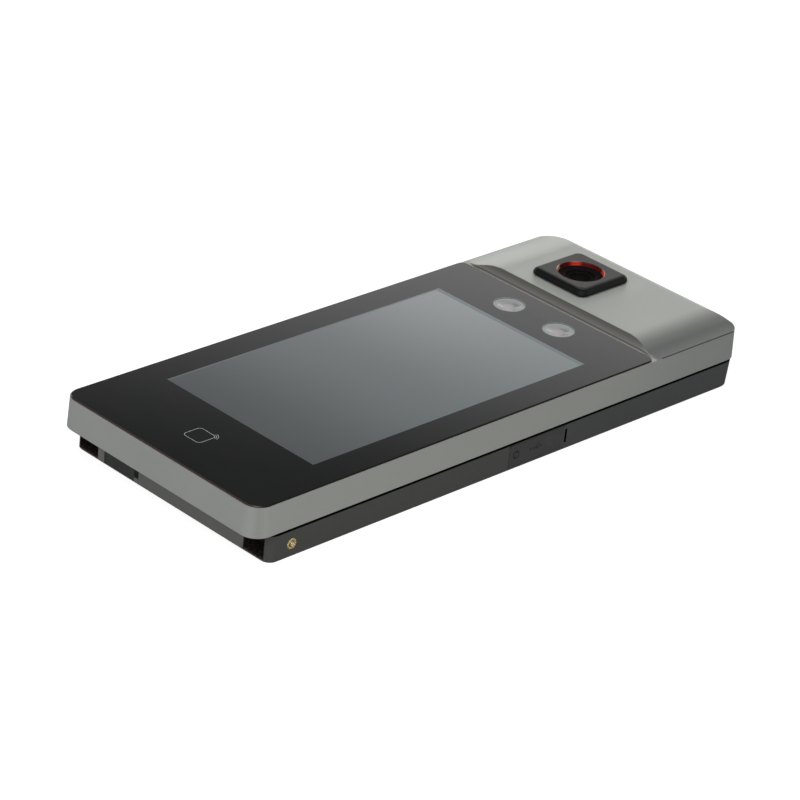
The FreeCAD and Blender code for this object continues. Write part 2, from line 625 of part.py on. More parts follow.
def ribbon_run():
    """Where the display's flat cable passes the backlight, along Y."""
    middle = PANEL_FAR_Y - BACKLIGHT_INSET / 2
    return middle - RIBBON_THICK / 2, middle + RIBBON_THICK / 2


def build_lcd_tray():
    """Folded sheet behind the backlight, with rims, standoffs and a slot for the flat cable."""
    inner_half = PANEL_HALF + TRAY_PLAY
    outer_half = inner_half + TRAY_SHEET
    inner_y = (PANEL_NEAR_Y - TRAY_PLAY, PANEL_FAR_Y + TRAY_PLAY)
    outer_y = (inner_y[0] - TRAY_SHEET, inner_y[1] + TRAY_SHEET)
    outer = box(-outer_half, outer_half, *outer_y, Z_TRAY, Z_LEDGE)
    inner = box(-inner_half, inner_half, *inner_y, Z_BACKLIGHT, Z_LEDGE)
    slot_half = RIBBON_WIDTH / 2 + SLIP
    slot = box(-slot_half, slot_half, ribbon_run()[0] - FIT, ribbon_run()[1] + SLIP, Z_TRAY, Z_BACKLIGHT)
    pieces = [outer.cut([inner, slot])]
    for x, y in board_spots():
        hole = rod(x, y, BOARD_SCREW_D / 2, Z_BOARD_TOP, Z_TRAY)
        pieces.append(hexagon(x, y, STANDOFF_R, Z_BOARD_TOP, Z_TRAY).cut(hole))
    return joined(pieces)


def build_card_antenna():
    """Small board behind the card mark, with a flat rectangular coil on its rear."""
    width, depth, thick = ANTENNA_SIZE
    rear = Z_GLASS_BACK - thick
    board = block(0, CARD_MARK_Y, width, depth, rear, Z_GLASS_BACK)
    coil_width = width - 2 * COIL_INSET
    coil_depth = depth - 2 * COIL_INSET
    coil = block(0, CARD_MARK_Y, coil_width, coil_depth, rear - COIL_THICK, rear)
    core = block(0, CARD_MARK_Y, coil_width - 2 * COIL_WIDTH, coil_depth - 2 * COIL_WIDTH,
                 rear - COIL_THICK, rear)
    return joined([board, coil.cut(core)])


# ---------------------------------------------------------------- lamps and cameras
def lamp_places():
    return [side * LAMP_PITCH / 2 for side in (-1, 1)]


def lamp_lens(side):
    """Clear lens with a hollow in its face, on a neck that stands on the board round its lamp."""
    x = side * LAMP_PITCH / 2
    flange_low = Z_LAMP - LAMP_FLANGE
    rim_r, floor_r, depth = LAMP_BOWL
    flange = rod(x, LAMP_Y, LAMP_D / 2, flange_low, Z_LAMP)
    neck = rod(x, LAMP_Y, LAMP_NECK_D / 2, Z_CAMERA_BOARD, flange_low)
    bowl = frustum(x, LAMP_Y, floor_r, rim_r, Z_LAMP - depth, Z_LAMP)
    lamp_room = rod(x, LAMP_Y, LED_ROOM_D / 2, Z_CAMERA_BOARD, Z_CAMERA_BOARD + LED_SIZE[1] + SLIP)
    return joined([flange, neck]).cut([bowl, lamp_room])


def build_lamp_leds():
    """One square lamp under each lens."""
    size, height = LED_SIZE
    lamps = [block(x, LAMP_Y, size, size, Z_CAMERA_BOARD, Z_CAMERA_BOARD + height) for x in lamp_places()]
    return Part.makeCompound(lamps)


def build_camera_board():
    width, depth, thick = CAMERA_BOARD
    return block(0, LAMP_Y, width, depth, Z_CAMERA_BOARD - thick, Z_CAMERA_BOARD)


def build_camera_bracket():
    """Plate behind the camera board, hung from the frame's plate on two posts."""
    plate_top = Z_CAMERA_BOARD - CAMERA_BOARD[2]
    width = CAMERA_ROOM[0] + 2 * BRACKET_REACH
    post_width, post_depth = BRACKET_POST
    post_x = (width - post_width) / 2
    plate = block(0, LAMP_Y, width, CAMERA_ROOM[1], plate_top - BRACKET_SHEET, plate_top)
    posts = [block(side * post_x, LAMP_Y, post_width, post_depth, plate_top, Z_LEDGE) for side in (-1, 1)]
    return joined([plate] + posts)


def camera_module(side):
    """Square lens mount and barrel of one camera, which looks out through the glass between the lamps."""
    x = side * CAMERA_PITCH / 2
    size, height = CAMERA_BASE
    edge, depth = CAMERA_DISH
    barrel_low = Z_CAMERA_BOARD + height
    barrel_top = Z_GLASS_BACK - FIT
    base = block(x, LAMP_Y, size, size, Z_CAMERA_BOARD, barrel_low)
    barrel = rod(x, LAMP_Y, CAMERA_LENS_D / 2, barrel_low, barrel_top)
    dish = rod(x, LAMP_Y, CAMERA_LENS_D / 2 - edge, barrel_top - depth, barrel_top)
    return joined([base, barrel]).cut(dish)


# ---------------------------------------------------------------- flat cables
def build_display_ribbon():
    """Flat cable from the display panel past the backlight and through the tray to its connector."""
    inner_y, outer_y = ribbon_run()
    half = RIBBON_WIDTH / 2
    low = Z_BOARD_TOP + CONNECTOR_HEIGHT / 2 - RIBBON_THICK / 2
    bend_y = outer_y - RIBBON_BEND
    drop = box(-half, half, inner_y, outer_y, low + RIBBON_BEND, Z_CELL)
    run = box(-half, half, display_connector_y(), bend_y, low, low + RIBBON_THICK)
    outer = rod_x(-half, half, bend_y, low + RIBBON_BEND, RIBBON_BEND)
    inner = rod_x(-half, half, bend_y, low + RIBBON_BEND, RIBBON_BEND - RIBBON_THICK)
    quarter = box(-half, half, bend_y, outer_y, low, low + RIBBON_BEND)
    return joined([drop, run, outer.cut(inner).common(quarter)])


def display_connector_y():
    """Face of the display connector that the flat cable enters."""
    return BOARD_Y[1] - BOARD_SCREW_INSET - STANDOFF_R


def build_display_connector():
    y = display_connector_y()
    half = RIBBON_WIDTH / 2 + SLIP
    return box(-half, half, y - CONNECTOR_DEPTH, y, Z_BOARD_TOP, Z_BOARD_TOP + CONNECTOR_HEIGHT)


def build_camera_ribbon():
    """Flat cable that lies on the camera board and on its connector."""
    middle, width = CAMERA_RIBBON
    board_edge = LAMP_Y - CAMERA_BOARD[1] / 2
    start = BOARD_Y[1] - CONNECTOR_DEPTH
    end = board_edge + CONNECTOR_DEPTH / 2
    return box(middle - width / 2 + SLIP, middle + width / 2 - SLIP, start, end,
               Z_CAMERA_BOARD, Z_CAMERA_BOARD + RIBBON_THICK)


def build_camera_connector():
    middle, width = CAMERA_RIBBON
    start = BOARD_Y[1] - CONNECTOR_DEPTH
    return box(middle - width / 2, middle + width / 2, start, start + CONNECTOR_DEPTH - SLIP,
               Z_BOARD_TOP, Z_CAMERA_BOARD)


# ---------------------------------------------------------------- thermal camera
def build_thermal_bezel():
    """Black block on the head: round-edged cushion, seat for the ring, bore for the barrel, square neck."""
    low = Z_HEAD + BLOCK_LIFT
    cushion = rounded_block(THERMAL_X, THERMAL_Y, BLOCK_SIZE, BLOCK_R, low, Z_BLOCK)
    cushion = cushion.makeFillet(BLOCK_ROUND, level_edges(cushion, Z_BLOCK))
    cushion = cushion.makeChamfer(BLOCK_UNDERCUT, level_edges(cushion, low))
    skirt = rounded_block(THERMAL_X, THERMAL_Y, SKIRT_SIZE, SKIRT_R, Z_CORE, low)
    ring_seat = rod(THERMAL_X, THERMAL_Y, RING_D / 2 + FIT / 2, Z_RING, Z_BLOCK)
    bore = rod(THERMAL_X, THERMAL_Y, BARREL_R + FIT / 2, Z_CORE, Z_BLOCK)
    return joined([cushion, skirt]).cut([ring_seat, bore])


def build_accent_ring():
    """Anodised ring with a narrow flat lip and a steep inside."""
    outer = RING_D / 2
    inner = outer - RING_LIP - RING_CONE
    section = [Vector(outer, 0, Z_RING), Vector(outer, 0, Z_BLOCK), Vector(outer - RING_LIP, 0, Z_BLOCK),
               Vector(inner, 0, Z_RING + RING_FOOT), Vector(inner, 0, Z_RING)]
    face = Part.Face(Part.makePolygon(section + section[:1]))
    ring = face.revolve(Vector(0, 0, 0), Vector(0, 0, 1), 360)
    ring.translate(Vector(THERMAL_X, THERMAL_Y, 0))
    return ring


def build_lens_barrel():
    """Black tube with a stepped mouth that narrows towards the lens."""
    barrel = rod(THERMAL_X, THERMAL_Y, BARREL_R, Z_CORE, Z_BARREL)
    cuts = [rod(THERMAL_X, THERMAL_Y, LENS_D / 2 + FIT / 2, Z_LENS - LENS_THICK, Z_LENS),
            rod(THERMAL_X, THERMAL_Y, SHUTTER_PATH_D / 2, Z_CORE, Z_LENS)]
    top = Z_BARREL
    for bore, depth in BARREL_STEPS:
        cuts.append(rod(THERMAL_X, THERMAL_Y, bore / 2, top - depth, top))
        top -= depth
    return barrel.cut(cuts)


def build_thermal_lens():
    """Germanium lens with a bevelled front edge."""
    lens = rod(THERMAL_X, THERMAL_Y, LENS_D / 2, Z_LENS - LENS_THICK, Z_LENS)
    return lens.makeChamfer(LENS_BEVEL, level_edges(lens, Z_LENS))


def build_thermal_core():
    """Sensor housing under the barrel, with a flat chamber that the shutter blade swings in."""
    body = rounded_block(THERMAL_X, THERMAL_Y, SKIRT_SIZE, SKIRT_R, Z_CORE_LOW, Z_CORE)
    room = SKIRT_SIZE - 2 * CORE_WALL
    chamber = block(THERMAL_X, THERMAL_Y, room, room, *Z_CHAMBER)
    light_path = rod(THERMAL_X, THERMAL_Y, SHUTTER_PATH_D / 2, Z_CORE_LOW + SENSOR_SILL, Z_CORE)
    pin = rod(SHUTTER_PIN_X, SHUTTER_PIN_Y, SHUTTER_PIN_D / 2, *Z_CHAMBER)
    return joined([body.cut([chamber, light_path]), pin])


def build_thermal_sensor():
    """Flat infrared sensor at the bottom of the light path."""
    size, height = SENSOR_SIZE
    low = Z_CORE_LOW + SENSOR_SILL
    return block(THERMAL_X, THERMAL_Y, size, size, low, low + height)


def build_shutter_blade():
    """Thin disc on an arm that turns on the corner pin of the chamber."""
    hub_wall, hub_rise = SHUTTER_HUB
    pin_r = SHUTTER_PIN_D / 2
    middle = sum(Z_CHAMBER) / 2
    low = middle - SHUTTER_SHEET / 2
    high = middle + SHUTTER_SHEET / 2
    disc = rod(THERMAL_X, THERMAL_Y, SHUTTER_BLADE_D / 2, low, high)
    hub = rod(SHUTTER_PIN_X, SHUTTER_PIN_Y, pin_r + hub_wall, low - hub_rise, high + hub_rise)
    arm = box(0, SHUTTER_ARM, -SHUTTER_ARM_WIDTH / 2, SHUTTER_ARM_WIDTH / 2, low, high)
    arm.rotate(Vector(0, 0, 0), Vector(0, 0, 1), 45)
    arm.translate(Vector(THERMAL_X, THERMAL_Y, 0))
    pin_hole = rod(SHUTTER_PIN_X, SHUTTER_PIN_Y, pin_r + PIN_PLAY, low - hub_rise, high + hub_rise)
    return joined([disc, hub, arm]).cut(pin_hole)


def build_thermal_board():
    """Board under the sensor housing."""
    margin, thick = THERMAL_BOARD
    size = SKIRT_SIZE + 2 * margin
    return block(THERMAL_X, THERMAL_Y, size, size, Z_CORE_LOW - thick, Z_CORE_LOW)


# ---------------------------------------------------------------- rear shell
def rear_tub():
    """Outside form of the rear shell: plain sides, far wall leaning in, bevelled round the rear face."""
    def section(grow, z):
        far_y = REAR_FAR_Y - REAR_FAR_LEAN * (1 - z / REAR_HEIGHT)
        return outline(REAR_HALF + grow, REAR_NEAR_Y - grow, far_y + grow, REAR_NEAR_R + grow, CORNER_R + grow, z)

    sections = [section(-REAR_EDGE, 0), section(0, REAR_EDGE), section(0, REAR_HEIGHT)]
    return Part.makeLoft(sections, True, True)


def rear_slab(inset, near_r, far_r, low_z, high_z):
    """Plate inside the rear shell's outline at its rear face."""
    return slab(REAR_HALF - inset, REAR_NEAR_Y + inset, REAR_FAR_Y - REAR_FAR_LEAN - inset, near_r, far_r,
                low_z, high_z)


def hook_pocket(x, y):
    """Solid round one hook slot, and the slot with its retaining lip."""
    width, length, depth = HOOK_SIZE
    top = HOOK_LIP + depth
    near_y = y - length / 2
    solid = block(x, y, width + 2 * POCKET_WALL, length + 2 * POCKET_WALL, 0, top + POCKET_WALL)
    mouth = box(x - width / 2, x + width / 2, near_y, near_y + HOOK_MOUTH, -PAST, HOOK_LIP)
    room = block(x, y, width, length, HOOK_LIP, top)
    return solid, [mouth, room]


def catch_pocket(side):
    """Solid round one corner window of the near wall, and the window itself."""
    out_x, in_x = (HALF - inset for inset in CATCH_FROM_SIDE)
    back_y = REAR_NEAR_Y + CATCH_DEPTH
    solid = side_box(side, in_x - POCKET_WALL, out_x + POCKET_WALL,
                     REAR_NEAR_Y, back_y + POCKET_WALL, 0, REAR_HEIGHT).common(rear_tub())
    window = side_box(side, in_x, out_x, REAR_NEAR_Y - PAST, back_y, CATCH_SILL, REAR_HEIGHT)
    return solid, [window]


def insert_boss(side):
    """Round boss behind the side wall for one threaded insert, and its hole."""
    floor_x = REAR_HALF - INSERT_LENGTH - BLIND_END
    low_x, high_x = sorted((side * (floor_x - BLIND_END), side * (REAR_HALF - REAR_WALL / 2)))
    solid = rod_x(low_x, high_x, INSERT_Y, INSERT_Z, INSERT_D / 2 + INSERT_WALL)
    low_x, high_x = sorted((side * floor_x, side * (REAR_HALF + PAST)))
    return solid, [rod_x(low_x, high_x, INSERT_Y, INSERT_Z, INSERT_D / 2)]


def terminal_half(ways):
    return ways * TERMINAL_PITCH / 2 + TERMINAL_END


def wiring_room():
    """Walls of the wiring room behind the unit, and the room with the holes for its sockets."""
    solid = box(-ROOM_HALF - ROOM_WALL, ROOM_HALF + ROOM_WALL, ROOM_Y[0] - ROOM_WALL, ROOM_Y[1] + ROOM_WALL,
                0, Z_ROOM + ROOM_WALL)
    cuts = [box(-ROOM_HALF, ROOM_HALF, *ROOM_Y, -PAST, Z_ROOM)]
    sockets = [(JACK_X, JACK_SIZE[0] / 2, JACK_SIZE[2])]
    sockets += [(x, terminal_half(ways), TERMINAL_HEIGHT) for x, ways in (SIGNAL_TERMINAL, POWER_TERMINAL)]
    for x, half, height in sockets:
        cuts.append(box(x - half - FIT, x + half + FIT, ROOM_Y[1] - PAST, ROOM_Y[1] + ROOM_WALL + PAST,
                        Z_BOARD - height - FIT, Z_BOARD + ROOM_WALL))
    return solid, cuts


def side_cover_cuts():
    """Shallow seat of the side cover, the pocket behind it and the pry slot past its fold."""
    out_x = REAR_HALF + PAST
    anchor_y = SIDE_COVER_Y[1] + SIDE_ANCHOR + FIT
    seat = box(SIDE_FLOOR_X, out_x, SIDE_COVER_Y[0] - COVER_GAP, anchor_y,
               SIDE_COVER_Z[0] - COVER_GAP, SIDE_COVER_Z[1] + COVER_GAP)
    length, height, _ = SIDE_POCKET
    pocket = box(SIDE_POCKET_X, out_x, SIDE_POCKET_Y - length / 2, SIDE_POCKET_Y + length / 2,
                 SIDE_MID_Z - height / 2, SIDE_MID_Z + height / 2)
    width, height, depth = PRY_SLOT
    slot_y = anchor_y + PRY_SLOT_GAP
    slot = box(REAR_HALF - depth, out_x, slot_y, slot_y + width,
               SIDE_MID_Z - height / 2, SIDE_MID_Z + height / 2)
    return [seat, pocket, slot]


def side_pocket_walls():
    past_seat = SIDE_POCKET_WALL + COVER_GAP
    far_y = SIDE_COVER_Y[1] + SIDE_ANCHOR + PRY_SLOT_GAP + PRY_SLOT[0]
    return box(SIDE_POCKET_X - SIDE_POCKET_WALL, REAR_HALF - REAR_WALL / 2, SIDE_COVER_Y[0] - past_seat,
               far_y + past_seat, 0, REAR_HEIGHT)


def end_cover_cuts():
    """Seat of the end cover, the finger notch beside it and the pocket round the USB socket."""
    out_y = REAR_NEAR_Y - PAST
    seat = box(END_COVER_X[0] - COVER_GAP, END_COVER_X[1] + COVER_GAP, out_y, REAR_NEAR_Y + COVER_SEAT,
               END_COVER_Z[0] - COVER_GAP, REAR_HEIGHT)
    width, height, depth = FINGER_NOTCH
    notch = box(END_COVER_X[1], END_COVER_X[1] + width, out_y, REAR_NEAR_Y + depth,
                END_MID_Z - height / 2, END_MID_Z + height / 2)
    width, height, _ = END_POCKET
    pocket = box(END_MID_X - width / 2, END_MID_X + width / 2, out_y, END_POCKET_Y,
                 END_MID_Z - height / 2, END_MID_Z + height / 2)
    grow = 2 * (USB_SHELL + FIT)
    socket_half = (USB_MOUTH[1] + grow) / 2
    socket_hole = box(END_MID_X - (USB_MOUTH[0] + grow) / 2, END_MID_X + (USB_MOUTH[0] + grow) / 2,
                      END_POCKET_Y - PAST, END_POCKET_Y + END_POCKET_WALL + PAST,
                      END_MID_Z - socket_half, END_MID_Z + socket_half)
    return [seat, notch, pocket, socket_hole]


def end_pocket_walls():
    return box(END_COVER_X[0] - END_POCKET_WALL, END_COVER_X[1] + FINGER_NOTCH[0] + END_POCKET_WALL,
               REAR_NEAR_Y + REAR_WALL / 2, END_POCKET_Y + END_POCKET_WALL, 0, REAR_HEIGHT)


def sound_slots():
    """Row of slots in the rear face in front of the loudspeaker, shorter towards its sides."""
    x, y = SPEAKER_SPOT
    longest, loss = SOUND_FIELD
    slots = []
    for place in range(-SOUND_SLOT_PAIRS, SOUND_SLOT_PAIRS + 1):
        length = longest - loss * (place / SOUND_SLOT_PAIRS) ** 2
        slots.append(block(x + place * SOUND_SLOT_PITCH, y, SOUND_SLOT_WIDTH, length, -PAST, REAR_WALL))
    return slots


def tamper_seat():
    """Two ribs that carry the tamper switch, and the hole of its button."""
    x, y = TAMPER_SPOT
    width, depth, _ = TAMPER_SWITCH
    rib_x = (width - TAMPER_RIB) / 2
    ribs = [block(x + side * rib_x, y, TAMPER_RIB, depth, 0, TAMPER_SWITCH_Z) for side in (-1, 1)]
    return ribs, rod(x, y, (TAMPER_D + SLIP) / 2, -PAST, REAR_WALL + PAST)


def floor_ribs():
    """Low ribs across the inside of the rear wall."""
    width, height = FLOOR_RIB
    half = REAR_HALF - REAR_WALL / 2
    return [box(-half, half, FAR_Y - end, FAR_Y - end + width, REAR_WALL / 2, REAR_WALL + height)
            for end in FLOOR_RIB_ENDS]


def build_rear_shell():
    """Moulded tub with its closing plate, bosses, pockets and the wiring room."""
    near_r = REAR_NEAR_R - REAR_WALL
    far_r = CORNER_R - REAR_WALL
    tub = rear_tub().cut(rear_slab(REAR_WALL, near_r, far_r, REAR_WALL, Z_PLATE))
    mouth = rear_slab(2 * REAR_WALL, near_r, far_r, REAR_HEIGHT - PLATE_THICK, Z_PLATE)
    plate = inset_slab(FRAME_WALL + PLATE_PLAY, REAR_HEIGHT, Z_PLATE).cut(mouth)
    rim = rear_slab(REAR_WALL / 2, REAR_NEAR_R - REAR_WALL / 2, CORNER_R - REAR_WALL / 2,
                    REAR_HEIGHT - PLATE_THICK, REAR_HEIGHT).cut(mouth)
    solids = [tub, plate, rim, side_pocket_walls(), end_pocket_walls()] + floor_ribs()
    cuts = side_cover_cuts() + end_cover_cuts() + sound_slots()
    for x, y in CASE_SCREW_SPOTS:
        solids.append(hexagon(x, y, CASE_BOSS_R, 0, Z_PLATE))
        cuts.append(hexagon(x, y, SCREW_WELL_R, -PAST, CASE_HEAD_SINK))
        cuts.append(rod(x, y, CASE_SCREW_D / 2 + FIT, CASE_HEAD_SINK, Z_PLATE + PAST))
    pockets = [wiring_room()]
    pockets += [hook_pocket(side * HOOK_X, FAR_Y - end) for side in (-1, 1) for end in HOOK_ENDS]
    pockets += [make(side) for make in (catch_pocket, insert_boss) for side in (-1, 1)]
    for solid, holes in pockets:
        solids.append(solid)
        cuts += holes
    ribs, button_hole = tamper_seat()
    microphone_hole = rod_x(-REAR_HALF - PAST, MIC_X + PAST, MIC_Y, MIC_Z, MIC_HOLE_R)
    return joined(solids + ribs).cut(cuts + [button_hole, microphone_hole])


def build_case_seal():
    """Rubber ring between the closing plate and the step in the front frame's wall."""
    outer = FRAME_WALL + FIT
    return inset_slab(outer, Z_PLATE, Z_SEAL).cut(inset_slab(outer + SEAL_WIDTH, Z_PLATE, Z_SEAL))


def build_case_screws():
    """Screws from sunk seats in the rear shell into the frame's posts."""
    head_low = CASE_HEAD_SINK - CASE_HEAD_HEIGHT
    shank_top = Z_PLATE + POST_HEIGHT - 2 * BLIND_END
    screws = []
    for x, y in CASE_SCREW_SPOTS:
        head = rod(x, y, CASE_HEAD_D / 2, head_low, CASE_HEAD_SINK)
        screws.append(joined([head, rod(x, y, CASE_SCREW_D / 2, CASE_HEAD_SINK, shank_top)]))
    return Part.makeCompound(screws)


def side_insert(side):
    """Brass insert with a tapped hole, flush with the side wall."""
    low_x, high_x = sorted((side * (REAR_HALF - INSERT_LENGTH), side * REAR_HALF))
    body = rod_x(low_x, high_x, INSERT_Y, INSERT_Z, INSERT_D / 2)
    return body.cut(rod_x(low_x, high_x, INSERT_Y, INSERT_Z, THREAD_R))


# ---------------------------------------------------------------- covers
def edges_at(shape, test):
    """Straight edges whose two ends both pass a test."""
    return [e for e in shape.Edges if all(test(vertex.Point) for vertex in e.Vertexes)]


def build_side_cover():
    """Rubber flap that folds open about the line at its far end, with the hole of its screw."""
    free_y = SIDE_COVER_Y[0]
    flap = box(REAR_HALF - COVER_SHEET, REAR_HALF, free_y, SIDE_COVER_Y[1] - FIT, *SIDE_COVER_Z)
    corners = [e for e in edges_at(flap, lambda p: p.y == free_y) if e.BoundBox.XLength > COVER_SHEET / 2]
    flap = flap.makeFillet(SIDE_COVER_ROUND, corners)
    radius = (COVER_SCREW_D + FIT) / 2
    return flap.cut(rod_x(REAR_HALF - COVER_SHEET - PAST, REAR_HALF + PAST, COVER_SCREW_Y, SIDE_MID_Z, radius))


def build_cover_screw():
    """Captive screw head in the flap, with a round driver socket."""
    head = rod_x(REAR_HALF - COVER_SHEET, REAR_HALF, COVER_SCREW_Y, SIDE_MID_Z, COVER_SCREW_D / 2)
    return head.cut(rod_x(REAR_HALF - COVER_SCREW_KEY, REAR_HALF, COVER_SCREW_Y, SIDE_MID_Z, COVER_SCREW_D / 4))


def build_side_cover_anchor():
    """Strip past the fold, which holds the flap to the housing."""
    return box(SIDE_FLOOR_X, REAR_HALF, SIDE_COVER_Y[1], SIDE_COVER_Y[1] + SIDE_ANCHOR, *SIDE_COVER_Z)


def build_side_port_block():
    """Plastic block in the side pocket, with a memory card slot, a service socket and the reset hole."""
    half_length = SIDE_POCKET[0] / 2 - FIT
    half_height = SIDE_POCKET[1] / 2 - FIT
    body = box(SIDE_POCKET_X, PORT_FRONT_X, SIDE_POCKET_Y - half_length, SIDE_POCKET_Y + half_length,
               SIDE_MID_Z - half_height, SIDE_MID_Z + half_height)
    cuts = []
    for low_y, high_y, low_z, high_z in (CARD_SLOT, SERVICE_PORT):
        cuts.append(box(PORT_FRONT_X - PORT_DEPTH, PORT_FRONT_X, SIDE_POCKET_Y + low_y, SIDE_POCKET_Y + high_y,
                        SIDE_MID_Z + low_z, SIDE_MID_Z + high_z))
    cuts.append(rod_x(PORT_FRONT_X - RESET_BORE, PORT_FRONT_X, SIDE_POCKET_Y + RESET_OFF, SIDE_MID_Z,
                      RESET_D / 2 + FIT))
    return body.cut(cuts)


def build_reset_button():
    return rod_x(PORT_FRONT_X - RESET_IN, PORT_FRONT_X + RESET_OUT, SIDE_POCKET_Y + RESET_OFF, SIDE_MID_Z,
                 RESET_D / 2)


def build_end_cover():
    """Rubber flap over the USB socket, hinged at its left edge and rounded at the finger notch."""
    free_x = END_COVER_X[1]
    flap = box(END_COVER_X[0] + FIT, free_x, REAR_NEAR_Y, REAR_NEAR_Y + COVER_SHEET, *END_COVER_Z)
    return flap.makeFillet(END_COVER_ROUND, edges_at(flap, lambda p: p.x == free_x and p.y == REAR_NEAR_Y))


def build_usb_socket():
    """Metal shell of a USB type A socket with its tongue."""
    half_width = USB_MOUTH[0] / 2
    half_height = USB_MOUTH[1] / 2
    inner_y = END_POCKET_Y + USB_LENGTH - USB_BACK
    outer = box(END_MID_X - half_width - USB_SHELL, END_MID_X + half_width + USB_SHELL,
                END_POCKET_Y, END_POCKET_Y + USB_LENGTH, END_MID_Z - half_height - USB_SHELL,
                END_MID_Z + half_height + USB_SHELL)
    inner = box(END_MID_X - half_width, END_MID_X + half_width, END_POCKET_Y, inner_y,
                END_MID_Z - half_height, END_MID_Z + half_height)
    width, low, high = USB_TONGUE
    tongue = box(END_MID_X - width / 2, END_MID_X + width / 2, END_POCKET_Y + USB_TONGUE_SINK, inner_y,
                 END_MID_Z + low, END_MID_Z + high)
    return joined([outer.cut(inner), tongue])


def build_usb_board():
    """Small board that the USB socket is soldered to."""
    width, depth, thick = USB_BOARD
    start = END_POCKET_Y + USB_BOARD_SINK
    low = END_MID_Z + USB_MOUTH[1] / 2 + USB_SHELL
    return box(END_MID_X - width / 2, END_MID_X + width / 2, start, start + depth, low, low + thick)


# ---------------------------------------------------------------- main board and what is on it
def board_spots():
    """Where the main board is screwed to the display tray."""
    reach_x = BOARD_HALF - BOARD_SCREW_INSET
    near_y = JACK_Y + JACK_SIZE[1] + BOARD_SCREW_INSET
    return [(side * reach_x, y) for side in (-1, 1) for y in (near_y, BOARD_Y[1] - BOARD_SCREW_INSET)]


def build_main_board():
    board = box(-BOARD_HALF, BOARD_HALF, *BOARD_Y, Z_BOARD, Z_BOARD_TOP)
    return board.cut([rod(x, y, BOARD_HOLE_D / 2, Z_BOARD, Z_BOARD_TOP) for x, y in board_spots()])


def build_board_screws():
    across, height = BOARD_SCREW_HEAD
    screws = []
    for x, y in board_spots():
        head = hexagon(x, y, across / 2, Z_BOARD - height, Z_BOARD)
        shank = rod(x, y, BOARD_SCREW_D / 2, Z_BOARD, Z_TRAY - SLIP)
        screws.append(joined([head, shank]))
    return Part.makeCompound(screws)


def on_board(spot):
    """Plain block under the board: middle from the board's near edge, size and height."""
    x, y, width, depth, height = spot
    return block(x, BOARD_Y[0] + y, width, depth, Z_BOARD - height, Z_BOARD)


def build_network_jack():
    """Shielded network socket with its mouth in the wall of the wiring room."""
    width, length, height = JACK_SIZE
    mouth_width, mouth_depth, mouth_height = JACK_MOUTH
    latch_width, latch_height = JACK_LATCH
    low = Z_BOARD - height
    mouth_low = low + JACK_SILL
    mouth_top = mouth_low + mouth_height
    body = box(JACK_X - width / 2, JACK_X + width / 2, JACK_Y, JACK_Y + length, low, Z_BOARD)
    mouth = box(JACK_X - mouth_width / 2, JACK_X + mouth_width / 2, JACK_Y, JACK_Y + mouth_depth,
                mouth_low, mouth_top)
    latch = box(JACK_X - latch_width / 2, JACK_X + latch_width / 2, JACK_Y, JACK_Y + mouth_depth,
                mouth_top, mouth_top + latch_height)
    return body.cut([mouth, latch])


def terminal_block(centre_x, ways):
    """Spring terminal strip with a row of square wire entries and the slots of their releases."""
    half = terminal_half(ways)
    low = Z_BOARD - TERMINAL_HEIGHT
    body = box(centre_x - half, centre_x + half, JACK_Y, JACK_Y + TERMINAL_DEPTH, low, Z_BOARD)
    entry, entry_depth, entry_sill = WIRE_ENTRY
    width, depth, height, sill = RELEASE_SLOT
    cuts = []
    for way in range(ways):
        x = centre_x + (way - (ways - 1) / 2) * TERMINAL_PITCH
        cuts.append(box(x - entry / 2, x + entry / 2, JACK_Y, JACK_Y + entry_depth,
                        low + entry_sill, low + entry_sill + entry))
        cuts.append(box(x - width / 2, x + width / 2, JACK_Y, JACK_Y + depth, low + sill, low + sill + height))
    return body.cut(cuts)


def build_processor_shield():
    """Pressed lid over the processor."""
    lid = on_board(SHIELD)
    return lid.makeChamfer(SHIELD_EDGE, level_edges(lid, Z_BOARD - SHIELD[4]))


def build_clock_cell():
    x, y = CLOCK_CELL
    top = Z_BOARD - HOLDER_FLOOR
    return rod(x, BOARD_Y[0] + y, CELL_D / 2, top - CELL_HEIGHT, top)


def build_cell_holder():
    """Holder of the clock's coin cell, with a floor and two side walls."""
    x, y = CLOCK_CELL
    margin_x, margin_y = HOLDER_MARGIN
    wall, length = HOLDER_WALL
    floor = on_board((x, y, CELL_D + 2 * margin_x, CELL_D + 2 * margin_y, HOLDER_FLOOR))
    wall_x = CELL_D / 2 + FIT + wall / 2
    walls = [on_board((x + side * wall_x, y, wall, length, HOLDER_FLOOR + CELL_HEIGHT)) for side in (-1, 1)]
    return joined([floor] + walls)


# ---------------------------------------------------------------- sound
def build_speaker_gasket():
    return tube(*SPEAKER_SPOT, SPEAKER_D / 2, SPEAKER_D / 2 - GASKET[0], REAR_WALL, Z_SPEAKER)


def build_speaker_basket():
    """Basket of the loudspeaker with its magnet behind."""
    wall, rim_height = SPEAKER_RIM
    rim = rod(*SPEAKER_SPOT, SPEAKER_D / 2, Z_SPEAKER, Z_SPEAKER + rim_height)
    magnet = rod(*SPEAKER_SPOT, MAGNET_D / 2, Z_SPEAKER + rim_height, Z_SPEAKER + SPEAKER_HEIGHT)
    well = rod(*SPEAKER_SPOT, SPEAKER_D / 2 - wall, Z_SPEAKER, Z_SPEAKER + SPEAKER_WELL)
    return joined([rim, magnet]).cut(well)


def build_speaker_cone():
    """Shallow cone in the basket's mouth."""
    neck, depth, play = CONE
    rim = SPEAKER_D / 2 - SPEAKER_RIM[0] - play
    top = Z_SPEAKER + SPEAKER_WELL
    return frustum(*SPEAKER_SPOT, rim, neck, top - depth, top)


def build_microphone():
    start = MIC_X + MIC_BOOT[0]
    return rod_x(start, start + MIC_LENGTH, MIC_Y, MIC_Z, MIC_D / 2)


